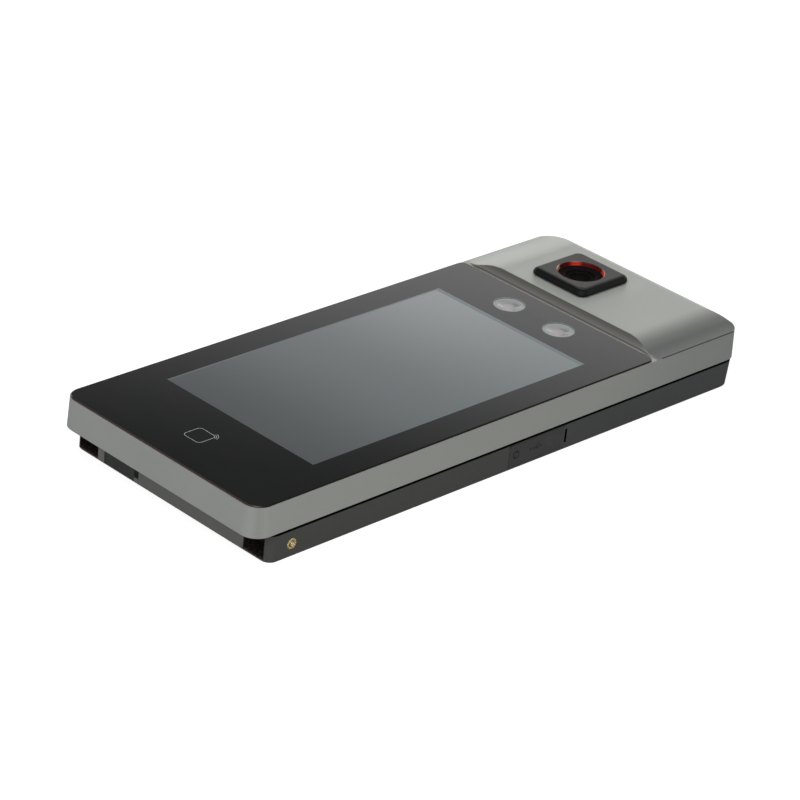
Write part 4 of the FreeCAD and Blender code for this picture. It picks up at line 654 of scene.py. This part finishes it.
# %% [markdown]
# ## Service covers
# The two covers are soft rubber, matt with a grey bloom in patches. Rubber scatters a little light
# at a flat angle, which a touch of sheen gives without fine hairs.

# %% Soft rubber
def soft_rubber():
    rubber = Finish("rubber_black", IOR=1.45, Sheen_Weight=0.15, Sheen_Roughness=0.5)
    skin = rubber.noise(0.3, 4.0, rough=0.7)
    bloom = rubber.noise(6, 3.0).rise(0.45, 0.75)
    return rubber.paint(
        Base_Color=rubber.mix(bloom * 0.5 + skin * 0.3, grey(0.020), grey(0.040, 0.02)),
        Roughness=0.62 + skin * 0.14,
        Normal=rubber.relief(skin, 0.02, 0.5))


# %% [markdown]
# ## Accent ring
# The ring round the thermal camera is turned aluminium, anodised red, with the fine circles of the
# lathe. Most of it is a deep, dull red. Two arcs are painted highlights in a brighter red, the
# longer one with a painted glint in it, and one arc is a pale painted highlight. Each is a mask by
# the angle round the ring's own axis.

# %% Anodised ring
ring_middle = middle("accent_ring")
RING_X, RING_Y = ring_middle.x / MM, ring_middle.y / MM
HIGHLIGHT_ARCS = ((134, 158, 16), (26, 68, 9))
GLINT_ARC = (32, 60, 10)
PALE_HIGHLIGHT_ARC = (-162, -134, 8)


def anodised_ring():
    ring = Finish("ring_red", Metallic=0.6, Coat_Weight=0.1, Coat_Roughness=0.12)
    turned = (ring.radius_from(RING_X, RING_Y) * 42).waves()
    dye = ring.noise(3, 2.0)
    x, y, _ = ring.in_mm()
    angle = (y - RING_Y).bearing(x - RING_X)
    # Painted highlights: two bright red arcs, one with a glint, and a pale arc.
    highlight_arcs = angle.within(*HIGHLIGHT_ARCS[0]).either(angle.within(*HIGHLIGHT_ARCS[1]))
    dull = ring.mix(dye * 0.6 + turned * 0.2, (0.13, 0.009, 0.008, 1), (0.21, 0.016, 0.013, 1))
    highlight_red = ring.coats(ring.mix(dye, (0.90, 0.075, 0.045, 1), (0.95, 0.13, 0.075, 1)),
                       (angle.within(*GLINT_ARC), (1.0, 0.22, 0.15, 1)))
    return ring.paint(
        Base_Color=ring.coats(dull, (highlight_arcs, highlight_red),
                              (angle.within(*PALE_HIGHLIGHT_ARC), (0.95, 0.50, 0.44, 1))),
        Roughness=0.26 + turned * 0.1,
        Normal=ring.relief(turned, 0.006, 0.4))


# %% [markdown]
# ## Barrel and thermal lens
# The barrel inside the ring is blackened and threaded against stray light, with a little dust in
# the thread. The lens is coated germanium. It lets warmth in and gives no gloss to speak of, so it
# is nearly black, with faint circles of painted reflection. Both share the axis of the ring.

# %% Barrel and lens
def threaded_black():
    barrel = Finish("barrel_black", IOR=1.5, Specular_IOR_Level=0.02)
    _, _, z = barrel.in_mm()
    grooves = (z * 18 + barrel.radius_from(RING_X, RING_Y) * 14).waves()
    dust = barrel.noise(0.7, 3.0).rise(0.6, 0.8)
    return barrel.paint(
        Base_Color=barrel.mix(dust * 0.4, grey(0.008), grey(0.019)),
        Roughness=0.5 + dust * 0.2,
        Normal=barrel.relief(grooves, 0.06, 0.6))


def germanium():
    lens = Finish("lens_dark", IOR=1.5, Specular_IOR_Level=0.0)
    # Painted reflection: faint circles round the ring's axis.
    ring_reflections = (lens.radius_from(RING_X, RING_Y) * 5).waves()
    return lens.paint(
        Base_Color=lens.mix(ring_reflections, (0.003, 0.003, 0.003, 1), (0.014, 0.014, 0.014, 1)),
        Roughness=0.22 + lens.noise(1.5, 2.0) * 0.06)


# %% [markdown]
# ## Metals and coatings of the small parts
# Screws, shields and sockets are cut, plated or pressed sheet. They share one recipe: a metal with
# a fine directional grain, a slow change of tone from handling, and some dulling. Films, lamps and
# the display panel share another: a skin of two close tones, with an optional clear coat.

# %% Plain metals
def worked_metal(name, low, high, roughness, grain_mm=0.12, stretch=(1, 12, 1)):
    metal = Finish(name, Metallic=1.0)
    grain = metal.noise(grain_mm, 2.0, stretch)
    stain = metal.noise(4, 3.0)
    return metal.paint(
        Base_Color=metal.mix(grain * 0.5 + stain * 0.5, low, high),
        Roughness=roughness - 0.05 + grain * 0.1 + stain * 0.06,
        Normal=metal.relief(grain, 0.004, 0.4))


def coated(name, low, high, roughness, grain_mm, depth_mm, coat=0.0):
    skin = Finish(name, Coat_Weight=coat, Coat_Roughness=0.1)
    grain = skin.noise(grain_mm, 3.0)
    cloud = skin.noise(grain_mm * 20, 2.0)
    return skin.paint(
        Base_Color=skin.mix(grain * 0.5 + cloud * 0.5, low, high),
        Roughness=roughness + grain * 0.1,
        Normal=skin.relief(grain, depth_mm, 0.5))


# %% [markdown]
# ## Circuit boards
# A board is glass cloth under a green resist, with copper runs that lift the resist slightly. The
# weave is a pair of crossed waves, and the runs are a brick pattern whose gaps are the tracks.

# %% Circuit board
TRACKS = {"Scale": 160.0, "Mortar Size": 0.012, "Mortar Smooth": 0.1}


def circuit_board():
    board = Finish("circuit_board", IOR=1.5, Coat_Weight=0.4, Coat_Roughness=0.2)
    x, y, _ = board.in_mm()
    weave = (x * 9).sine() * (y * 9).sine() * 0.5 + 0.5
    copper = board.node("ShaderNodeTexBrick", {"offset": 0.5, "squash": 1.0},
                        {"Vector": board.place, **TRACKS}, "Fac")
    runs = copper * board.noise(7, 1.0).rise(0.45, 0.5)
    resist = board.mix(weave, (0.006, 0.05, 0.018, 1), (0.01, 0.075, 0.028, 1))
    return board.paint(
        Base_Color=board.mix(runs, resist, (0.03, 0.16, 0.05, 1)),
        Roughness=0.36 + weave * 0.1,
        Normal=board.relief(runs + weave * 0.2, 0.03, 0.5))


# %% [markdown]
# ## Giving the finishes to the frame
# Each node of the frame names a material slot in the record. The tables below answer every slot
# with a finish, the plain ones by their recipe, and a loop puts it on the node. Three nodes need a
# finish of their own.

# %% Assign
plastics = {
    "connector_plastic": (0.62, 0.2, 0.01, 0.45, 0.06),
    "adhesive": (0.02, 0.25, 0.03, 0.8),
    "white_sheet": (0.68, 0.4, 0.006, 0.5),
    "black_module": (0.02, 0.2, 0.008, 0.42),
    "terminal_plastic": (0.10, 0.3, 0.01, 0.45),
    "relay_case": (0.03, 0.3, 0.006, 0.25),
    "paper_cone": (0.03, 0.5, 0.05, 0.8),
}
metals = {
    "sheet_steel": (grey(0.42), grey(0.6), 0.36, 0.2, (1, 30, 1)),
    "brass": ((0.62, 0.38, 0.10, 1), (0.88, 0.62, 0.24, 1), 0.24),
    "screw_steel": (grey(0.28), grey(0.46), 0.32),
    "plated_shell": (grey(0.55), grey(0.72), 0.18),
    "spring_steel": (grey(0.45), grey(0.62), 0.25),
}
skins = {
    "led_package": ((0.72, 0.66, 0.22, 1), (0.85, 0.8, 0.4, 1), 0.45, 0.2, 0.01),
    "amber_film": ((0.22, 0.07, 0.012, 1), (0.36, 0.13, 0.02, 1), 0.2, 0.6, 0.01, 0.5),
    "display_panel": ((0.05, 0.06, 0.065, 1), (0.1, 0.11, 0.12, 1), 0.1, 0.3, 0.002),
}
finishes = {
    "frame_metal": brushed_frame(),
    "black_glass": printed_glass(),
    "circuit_board": circuit_board(),
    "block_black": satin_block(),
    "ring_red": anodised_ring(),
    "lens_dark": germanium(),
    "shell_black": rear_shell_black(),
    "rubber_black": soft_rubber(),
}
for recipe, table in ((moulded, plastics), (worked_metal, metals), (coated, skins)):
    finishes.update({name: recipe(name, *values) for name, values in table.items()})
own_finish = {
    "left_lamp_lens": lamp_lens(-1),
    "right_lamp_lens": lamp_lens(1),
    "lens_barrel": threaded_black(),
}
slot_of = {entry["node"]: entry["material_slot"] for entry in frame["record"]["subparts"]}
for node, obj in frame["nodes"].items():
    obj.data.materials.clear()
    obj.data.materials.append(own_finish.get(node) or finishes[slot_of[node]])
print("finishes:", len(finishes) + len(own_finish))

# %% [markdown]
# ## New pieces
# Everything below is made in mesh code. `piece` turns a bmesh into an object that has its finish
# and rides on a body. Primitives and booleans could make most of these shapes, but a strip, a
# turned part and a coil are all rings of corners with a skin between them, which is what `stitch`
# lays, so one short helper gives clean meshes for all of them.

# %% Piece tools
def piece(name, mesh_maker, material, body="terminal"):
    """Object from a bmesh, with its finish and the body that carries it."""
    bmesh.ops.recalc_face_normals(mesh_maker, faces=mesh_maker.faces)
    mesh = bpy.data.meshes.new(name)
    mesh_maker.to_mesh(mesh)
    mesh_maker.free()
    obj = bpy.data.objects.new(name, mesh)
    obj.data.materials.append(material)
    bpy.context.collection.objects.link(obj)
    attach(obj, body)
    return obj


def stitch(bm, rings, closed=False):
    """Skin between rings of corners, with the ends capped unless the last ring meets the first."""
    sides = len(rings[0])
    for i in range(len(rings) if closed else len(rings) - 1):
        a, b = rings[i], rings[(i + 1) % len(rings)]
        for k in range(sides):
            n = (k + 1) % sides
            bm.faces.new((a[k], a[n], b[n], b[k]))
    if not closed:
        bm.faces.new(rings[0])
        bm.faces.new(rings[-1][::-1])


# %% [markdown]
# ## Flat strips
# `ribbon` sweeps a flat strip along a path of points, which `arc` and `rounded_square` can give. A
# curve object with a bevel could do the sweeping too, but a strip that is thinner than it is wide
# needs square corners.

# %% Strips and outlines
def ribbon(bm, path, width, thick, place, closed=False):
    """Flat strip along (u, v) points; place turns (u, v, height) into a corner in metres."""
    count = len(path)
    rails = []
    for i, (u, v) in enumerate(path):
        before = path[i - 1] if closed or i else path[i]
        after = path[(i + 1) % count] if closed or i < count - 1 else path[i]
        du, dv = after[0] - before[0], after[1] - before[1]
        length = math.hypot(du, dv)
        off_u, off_v = -dv / length * width / 2, du / length * width / 2
        rails.append([bm.verts.new(place(u + s * off_u, v + s * off_v, height))
                      for s, height in ((-1, 0), (1, 0), (1, thick), (-1, thick))])
    stitch(bm, rails, closed)


def arc(centre_u, centre_v, radius, start, end, steps):
    """Points of an arc, in degrees."""
    angles = [math.radians(start + (end - start) * i / steps) for i in range(steps + 1)]
    return [(centre_u + radius * math.cos(a), centre_v + radius * math.sin(a)) for a in angles]


def rounded_square(centre_u, centre_v, half_u, half_v, radius, steps=6):
    points = []
    for quarter, (su, sv) in enumerate(((1, 1), (-1, 1), (-1, -1), (1, -1))):
        corner = (centre_u + su * (half_u - radius), centre_v + sv * (half_v - radius))
        points += arc(*corner, radius, 90 * quarter, 90 * quarter + 90, steps)
    return points


# %% [markdown]
# ## Card mark
# A thin square with rounded corners and two small waves past one corner show where a card is held.
# A mask in the glass would blur so thin a line, so here it is a ribbon of ink, 0.015 mm thick.

# %% Card mark
INK = 0.015
SQUARE = {"centre_u": 0.2, "centre_v": -118.9, "half_u": 4.7, "half_v": 4.65, "radius": 1.7}
SQUARE_LINE = 0.19
WAVES_FROM = (3.0, -116.2)
WAVE_REACHES = (2.7, 3.5)
WAVE_LINE = 0.17


def on_glass(u, v, height):
    return (u * MM, v * MM, glass_high.z + height * MM)


ink = Finish("mark_ink", IOR=1.5)
ink_white = ink.paint(
    Base_Color=ink.mix(ink.noise(0.4, 2.0), (0.40, 0.46, 0.44, 1), (0.52, 0.60, 0.57, 1)),
    Roughness=0.35 + ink.noise(0.2) * 0.1)
mark = bmesh.new()
ribbon(mark, rounded_square(**SQUARE), SQUARE_LINE, INK, on_glass, closed=True)
for reach in WAVE_REACHES:
    ribbon(mark, arc(*WAVES_FROM, reach, 8, 82, 8), WAVE_LINE, INK, on_glass)
card_mark = piece("card_mark", mark, ink_white)
print("card mark faces:", len(card_mark.data.polygons))

# %% [markdown]
# ## Turned and cut metal
# Inserts and screws start as bar in a lathe. `lathe` spins a closed profile of (depth, radius)
# pairs round an axis, and may let the radius wave with the angle, which is how a knurl or a
# star-shaped driver socket comes out of the same few lines. A function given by the caller puts
# each point in the product's frame, so one helper serves pieces that face sideways and pieces that
# face the wall.

# %% Lathe
def lathe(bm, profile, place, steps, wave=None):
    """Spins a closed profile; wave(index, angle) adds to the radius of one profile point."""
    rings = []
    for i in range(steps):
        angle = 2 * math.pi * i / steps
        radii = [radius + (wave(j, angle) if wave else 0) for j, (_, radius) in enumerate(profile)]
        rings.append([bm.verts.new(place(depth, radius * math.cos(angle),
                                         radius * math.sin(angle)))
                      for (depth, _), radius in zip(profile, radii)])
    stitch(bm, rings, closed=True)


def smooth(obj, angle=35):
    """Smooth shading that stays crisp where faces meet more sharply than the angle."""
    for face in obj.data.polygons:
        face.use_smooth = True
    edge = obj.modifiers.new("crisp edges", "EDGE_SPLIT")
    edge.split_angle = math.radians(angle)
    return obj


# %% [markdown]
# ## Knurled side inserts
# A brass insert is pressed into each side wall for the screw that locks the unit to its wall
# plate. The turned piece in the frame is right in size but smooth. The real one has a knurled rim
# of twelve lobes, a small countersink and an M3 thread, here as rings a thread pitch apart. Its
# brass is cut bright in places and brown between them. Inside the thread it is painted dark as
# painted shade, with a painted glint only on its far side.

# %% Insert brass
def insert_brass(name, centre):
    metal = Finish(name, Metallic=1.0)
    _, y, z = metal.in_mm()
    cuts = metal.noise(0.3, 2.0)
    off_y, off_z = y - centre.y / MM, z - centre.z / MM
    in_thread = 1 - (off_y * off_y + off_z * off_z).rise(1.3 ** 2, 1.6 ** 2)
    brass = metal.mix(cuts.rise(0.40, 0.60), (0.66, 0.40, 0.09, 1), (1.0, 0.90, 0.44, 1))
    # Painted shade inside the thread, with a painted glint on its far side.
    bore_shade_and_glint = metal.mix(cuts.rise(0.45, 0.55) * off_y.rise(-0.1, 0.6),
                       (0.03, 0.025, 0.02, 1), (0.75, 0.74, 0.70, 1))
    return metal.paint(Base_Color=metal.mix(in_thread, brass, bore_shade_and_glint),
                       Roughness=0.34 + cuts * 0.15)


# %% Inserts
INSERT_DEEP = 4.95
THREAD_START = 0.45
THREAD_PITCH = 0.5
THREAD_TURNS = 9
THREAD_RADII = (1.25, 1.48)
KNURLED_POINTS = {2, 3, 4}


def knurled_insert(side, node, name):
    low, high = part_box(node)
    centre = (low + high) / 2
    face_x = high.x if side > 0 else low.x
    outer = (high.y - low.y) / 2 / MM
    profile = [(0.12, 1.42), (0.0, 1.55), (0.0, outer - 0.34), (0.16, outer - 0.14),
               (INSERT_DEEP, outer - 0.14), (INSERT_DEEP, 1.45)]
    inner, crest = THREAD_RADII
    for turn in range(THREAD_TURNS, 0, -1):
        profile += [(THREAD_START + THREAD_PITCH * turn - THREAD_PITCH / 2, inner),
                    (THREAD_START + THREAD_PITCH * (turn - 1), crest)]
    bm = bmesh.new()
    lathe(bm, profile,
          lambda depth, u, v: Vector((face_x - side * depth * MM,
                                      centre.y + u * MM, centre.z + v * MM)),
          84, lambda j, angle: 0.13 * math.cos(12 * angle) if j in KNURLED_POINTS else 0.0)
    brass = insert_brass(f"insert_brass_{'right' if side > 0 else 'left'}", centre)
    obj = smooth(piece(name, bm, brass))
    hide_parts(node)
    return obj


for side, node in ((-1, "left_side_insert"), (1, "right_side_insert")):
    made = knurled_insert(side, node, node.replace("_insert", "_knurled_insert"))
    print(made.name, len(made.data.polygons))

# %% [markdown]
# ## Captive cover screw
# The side cover is held by one small black screw with a plain slot, left a few degrees off upright
# by whoever closed it last. Cutting a slot with a boolean leaves slivers, so the head is put
# together from a disc and two lips, and a bevel takes off the sharp edges as tumbling does.

# %% Slotted head
def slotted_head(bm, radius, thick, slot, slot_deep, turned, place, steps=28):
    """A disc with a straight slot; place turns (depth, u, v) in millimetres into a corner."""
    def put(depth, u, v):
        c, s = math.cos(turned), math.sin(turned)
        return bm.verts.new(place(depth, u * c - v * s, u * s + v * c))

    def prism(angles, near, far):
        points = [(radius * math.cos(a), radius * math.sin(a)) for a in angles]
        stitch(bm, [[put(depth, u, v) for u, v in points] for depth in (near, far)])

    prism([2 * math.pi * i / steps for i in range(steps)], slot_deep, thick)
    start = math.asin(slot / 2 / radius)
    lip_steps = steps // 2
    for half in (0, math.pi):
        prism([half + start + (math.pi - 2 * start) * i / lip_steps for i in range(lip_steps + 1)],
              0, slot_deep + 0.1)


# %% [markdown]
# The screw is blacked and slightly oily. The floor of its slot and the rim of its head are in
# shadow, so they get the same colourless metal as the dark places of the shell.

# %% Cover screw
screw_low, screw_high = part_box("cover_screw")
screw_at = (screw_low + screw_high) / 2
screw_radius = (screw_high.y - screw_low.y) / 2 / MM
SLOT_FLOOR = (-0.95, -0.5)
HEAD_RIM = (1.35, 1.45)


def blacked_steel():
    black = Finish("blacked_screw", IOR=1.5, Specular_IOR_Level=0.3)
    oil = black.noise(0.5, 3.0)
    off_y, off_z = black.y - screw_at.y, black.z - screw_at.z
    in_slot = ((black.x - screw_high.x) / MM).within(*SLOT_FLOOR, 0.15)
    at_rim = (off_y * off_y + off_z * off_z).rise(*((radius * MM) ** 2 for radius in HEAD_RIM))
    unlit = in_slot.either(at_rim)
    return black.paint(
        Metallic=unlit,
        Base_Color=black.coats(black.mix(oil, grey(0.040), grey(0.065)), (unlit, grey(0.002))),
        Roughness=0.4 + oil * 0.15)


head = bmesh.new()
slotted_head(head, screw_radius - 0.02, 1.5, 0.62, 0.7, math.radians(64),
             lambda depth, u, v: Vector((screw_high.x - depth * MM,
                                         screw_at.y + u * MM, screw_at.z + v * MM)))
cover_screw = piece("slotted_cover_screw", head, blacked_steel(), "side_flap")
soften = cover_screw.modifiers.new("tumbled edge", "BEVEL")
soften.width, soften.segments, soften.limit_method = 0.07 * MM, 2, "ANGLE"
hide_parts("cover_screw")
print("cover screw radius:", round(screw_radius, 2))

# %% [markdown]
# ## Case screws
# Six self-tapping screws hold the rear shell, each at the bottom of a six-sided well. Their heads
# have a six-lobed socket. The lathe makes the head with its socket as one profile, whose last two
# points wave with the angle, and a coarse thread as rings. All six are one piece, as they are in
# the frame.

# %% Lobed screws
SCREW_HEAD = 2.8
ROW_STEP = 103.0
COARSE_START = 2.2
COARSE_PITCH = 0.9


def screw_profile(length):
    """(depth, radius) points from the head's rim down the thread to the tip and up the socket."""
    profile = [(0.0, 2.55), (0.3, 2.78), (1.95, 2.78), (1.95, 1.5)]
    for turn in range(int((length - 2.6) / COARSE_PITCH)):
        start = COARSE_START + turn * COARSE_PITCH
        profile += [(start, 1.2), (start + COARSE_PITCH / 2, 1.5)]
    return profile + [(length - 0.1, 0.7), (length - 0.1, 0.02), (1.5, 0.02),
                      (1.5, 1.05), (0.0, 1.3)]


def lobed_screws():
    low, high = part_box("case_screws")
    reach_x = high.x / MM - SCREW_HEAD
    near_y, far_y = low.y / MM + SCREW_HEAD, high.y / MM - SCREW_HEAD
    profile = screw_profile((high.z - low.z) / MM)
    socket = {len(profile) - 2, len(profile) - 1}
    bm = bmesh.new()
    for x in (-reach_x, reach_x):
        for y in (near_y, near_y + ROW_STEP, far_y):
            lathe(bm, profile,
                  lambda depth, u, v, x=x, y=y: Vector(((x + u) * MM, (y + v) * MM,
                                                        low.z + depth * MM)),
                  36, lambda j, angle: 0.22 * math.cos(6 * angle) if j in socket else 0.0)
    obj = smooth(piece("lobed_case_screws", bm, finishes["screw_steel"]))
    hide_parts("case_screws")
    return obj


print("case screws:", len(lobed_screws().data.polygons), "faces")

# %% [markdown]
# ## Marks moulded into the covers
# Each rubber cover carries a few raised dots, so that a hand finds its free end. A dot is a spun
# low dome about a seventh of a millimetre high. The dots ride on the flaps and turn with them.

# %% Raised dots
DOT_SIDES = 14
DOT_HEIGHT = 0.14
DOT_RINGS = ((0.11, 0.5), (0.05, 0.85), (-0.02, 1.0))


def raised_dots(name, spots, face, body):
    """Domes at (u, v) places of a cover's face; face turns (lift, u, v) into a corner."""
    bm = bmesh.new()
    angles = [2 * math.pi * i / DOT_SIDES for i in range(DOT_SIDES)]
    for u0, v0, size in spots:
        tip = bm.verts.new(face(DOT_HEIGHT, u0, v0))
        rings = [[bm.verts.new(face(lift, u0 + size * part * math.cos(a),
                                    v0 + size * part * math.sin(a))) for a in angles]
                 for lift, part in DOT_RINGS]
        for i in range(DOT_SIDES):
            k = (i + 1) % DOT_SIDES
            bm.faces.new((tip, rings[0][i], rings[0][k]))
            for inner, outer in zip(rings, rings[1:]):
                bm.faces.new((inner[i], outer[i], outer[k], inner[k]))
        bm.faces.new(rings[-1])
    return smooth(piece(name, bm, dot_black, body), 80)


# %% [markdown]
# The dots of the side cover lie in a loose row, and three more sit in a line on the end cover.
# Each spot is a place along and across the cover, with the dot's radius.

# %% Dots on both covers
dot_black = moulded("dot_black", 0.008, 0.2, 0.004, 0.5, gloss=0.2)
side_low, side_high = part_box("side_service_cover")
side_z = (side_low.z + side_high.z) / 2
SIDE_ROW = (12.6, -0.1)
side_spots = [(0, 0.2, 0.4), (2.2, 0.1, 0.45), (3.3, 0.9, 0.42), (3.9, -0.3, 0.45),
              (4.6, 1.7, 0.42), (5.0, 0.2, 0.45), (6.0, 0.4, 0.4)]
raised_dots("side_cover_dots",
            [(u + SIDE_ROW[0], v + SIDE_ROW[1], size) for u, v, size in side_spots],
            lambda lift, u, v: Vector((side_high.x + lift * MM,
                                       side_low.y + u * MM, side_z + v * MM)), "side_flap")
end_low, end_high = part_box("end_service_cover")
end_middle = (end_low + end_high) / 2
end_spots = [(-1.6, 2.4, 0.4), (0.2, 2.4, 0.4), (2.0, 2.4, 0.4)]
raised_dots("end_cover_dots", end_spots,
            lambda lift, u, v: Vector((end_middle.x + u * MM,
                                       end_low.y - lift * MM, end_middle.z + v * MM)), "end_flap")
print("dots:", len(side_spots) + len(end_spots))

# %% [markdown]
# ## Spring contacts
# Look into the network socket from the wall side and there are eight gilt wires that slope down to
# meet the plug; the service socket has four flat ones under its tongue. Both are strips with a
# little depth, laid at the standard spacing.

# %% Contacts
STRIP_THICK = 0.18
WIRE_STEP = 1.02
BLADE_STEP = 2.4


def strips(name, lines, width):
    """Thin strips across X, one for each (x, [(y, z), ...]) in millimetres."""
    bm = bmesh.new()
    for x, path in lines:
        stitch(bm, [[bm.verts.new(((x + side * width / 2) * MM, y * MM, (z + lift) * MM))
                     for side, lift in ((-1, 0), (1, 0), (1, STRIP_THICK), (-1, STRIP_THICK))]
                    for y, z in path])
    return piece(name, bm, finishes["brass"])


jack_low, jack_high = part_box("network_jack")
jack_x = (jack_low.x + jack_high.x) / 2 / MM
jack_y, jack_top = jack_low.y / MM, jack_low.z / MM + 9.8
wire_path = [(jack_y + 2.2, jack_top - 0.5), (jack_y + 5.5, jack_top - 1.3),
             (jack_y + 10.5, jack_top - 2.7), (jack_y + 11.5, jack_top - 2.5)]
wires = [(jack_x + (i - 3.5) * WIRE_STEP, wire_path) for i in range(8)]
strips("network_contacts", wires, 0.5)
usb_low, usb_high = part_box("usb_socket")
usb_x, usb_z = (usb_low.x + usb_high.x) / 2 / MM, (usb_low.z + usb_high.z) / 2 / MM
blade_path = [(usb_low.y / MM + 1.6, usb_z + 0.12), (usb_low.y / MM + 9.5, usb_z + 0.15)]
blades = [(usb_x + i * BLADE_STEP, blade_path) for i in (-1.5, -0.5, 0.5, 1.5)]
strips("usb_contacts", blades, 1.1)
print("contacts:", len(wires) + len(blades))

# %% [markdown]
# ## Tamper spring
# The tamper button is pushed out by a small compression spring. The frame keeps its space with a
# plain sleeve, and the real thing is a coil of drawn wire. A tube is swept along a helix in mesh
# code. The real spring shortens with the button; here the coil rides on the terminal, is not
# carried, and keeps the sleeve's full length. The button travels 1.6 mm and the spring is 5.3 mm
# long.

# %% Coil spring
WIRE_RADIUS = 0.25 * MM
COIL_TURNS = 5.5


def coil(bm, centre, radius, low_z, high_z, steps=20, sides=8):
    count = int(COIL_TURNS * steps)
    rings = []
    for i in range(count + 1):
        angle = 2 * math.pi * COIL_TURNS * i / count
        out = Vector((math.cos(angle), math.sin(angle), 0))
        spot = Vector((centre.x, centre.y, low_z + (high_z - low_z) * i / count)) + out * radius
        rings.append([bm.verts.new(spot + out * (WIRE_RADIUS * math.cos(t))
                                   + Vector((0, 0, WIRE_RADIUS * math.sin(t))))
                      for t in (2 * math.pi * k / sides for k in range(sides))])
    stitch(bm, rings)


spring_low, spring_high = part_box("tamper_spring")
spring_middle = (spring_low + spring_high) / 2
clear = WIRE_RADIUS * 1.2
spring = bmesh.new()
coil(spring, spring_middle, (spring_high.x - spring_low.x) / 2 - clear,
     spring_low.z + clear, spring_high.z - clear)
tamper_coil = smooth(piece("tamper_coil", spring, finishes["spring_steel"]), 60)
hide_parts("tamper_spring")
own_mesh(tamper_coil)
print("spring length:", round((spring_high.z - spring_low.z) / MM, 2), "mm")

# %% [markdown]
# ## Table
# The product lies on a white table, a plain diffuse sheet that keeps a soft shadow. A sheet that
# is white in itself would throw too much light up at the sides, so it is a mid grey, darker
# towards the head, and only what the camera sees of it is lifted to white.

# %% Floor
FLOOR_REACH = 4.0
FLOOR_DROP = 0.05
SEEN_LIFT = 0.84


def flat_floor(reach):
    bm = bmesh.new()
    corners = [bm.verts.new((x * reach, y * reach, -FLOOR_DROP * MM))
               for x, y in ((-1, -1), (1, -1), (1, 1), (-1, 1))]
    bm.faces.new(corners)
    mesh = bpy.data.meshes.new("table_top")
    bm.to_mesh(mesh)
    bm.free()
    return bpy.data.objects.new("table_top", mesh)


table_top = flat_floor(FLOOR_REACH)
bpy.context.collection.objects.link(table_top)
cloth = Finish("table_white", Roughness=0.9)
near_tone = cloth.mix(cloth.noise(200, 2.0), grey(0.40), grey(0.42))
cloth.paint(Base_Color=cloth.mix(cloth.y.rise(-0.12, 0.22), near_tone, grey(0.29)))
seen = cloth.node("ShaderNodeLightPath", output="Is Camera Ray")
lift = cloth.node("ShaderNodeEmission", None, {"Color": grey(1.0), "Strength": seen * SEEN_LIFT})
plain = Wire(cloth, cloth.surface.outputs[0])
both = cloth.node("ShaderNodeAddShader", None, {0: plain, 1: lift})
cloth.feed(cloth.tree.nodes["Material Output"].inputs["Surface"], both)
table_top.data.materials.append(cloth.material)

# %% [markdown]
# ## Lamps
# Two broad lamps, one overhead and one low at the near side, light the product at a level where a
# colour comes out about as it is written. Broad lamps leave soft shadows, and a lamp of a metre or
# more shows in polished metal as a calm sheet and not as a hard spot.

# %% Lamps
def soft_lamp(name, place, aim, size, watts):
    lamp = bpy.data.objects.new(name, bpy.data.lights.new(name, "AREA"))
    lamp.data.shape = "RECTANGLE"
    lamp.data.size, lamp.data.size_y = size
    lamp.data.energy = watts
    lamp.location = place
    lamp.rotation_euler = (Vector(aim) - Vector(place)).to_track_quat("-Z", "Y").to_euler()
    bpy.context.collection.objects.link(lamp)
    print("lamp", name, watts, "W")


soft_lamp("overhead", (0.35, -0.35, 1.6), (0, 0, 0), (1.2, 1.2), 9.0)
soft_lamp("near_side", (0.75, -1.5, 0.7), (0, 0, 0), (2.4, 1.2), 14.0)

# %% [markdown]
# ## Sky
# A polished black glass and a brushed metal show little but what they reflect, so the sky is
# painted for them. A bright wall stands low behind the product and everything above the wall is
# dark, with one soft slanting edge between the two. Elsewhere the sky is an even grey. The camera
# itself sees plain white.

# %% Sky
WALL_BRIGHT = 1.25
ABOVE_WALL = 0.10
ELSEWHERE = 0.55
WALL_TOP = (23.5, 29.0)
WALL_SLANT = 0.12
SLANT_FROM = 42
BEHIND = (-35, 115, 40)
OVERHEAD = (68, 80)

sky = bpy.data.worlds.new("studio")
sky.use_nodes = True
bpy.context.scene.world = sky
studio = Bench(sky.node_tree)
heading = studio.split(studio.node("ShaderNodeTexCoord", output="Generated"))
turn = (0 - heading[0]).bearing(heading[1])
height = studio.node("ShaderNodeMath", {"operation": "ARCSINE"}, {0: heading[2]}) * DEGREES
wall = 1 - (height + (turn - SLANT_FROM) * WALL_SLANT).rise(*WALL_TOP)
behind = turn.within(*BEHIND) * (1 - height.rise(*OVERHEAD))
tone = (ABOVE_WALL + wall * (WALL_BRIGHT - ABOVE_WALL)) * behind + (1 - behind) * ELSEWHERE
camera_sees = studio.node("ShaderNodeLightPath", output="Is Camera Ray")
level = tone * (1 - camera_sees) + camera_sees
background = sky.node_tree.nodes["Background"]
studio.feed(background.inputs["Color"], grey(1.0))
studio.feed(background.inputs["Strength"], level)
print("wall", WALL_BRIGHT, "above it", ABOVE_WALL, "elsewhere", ELSEWHERE)
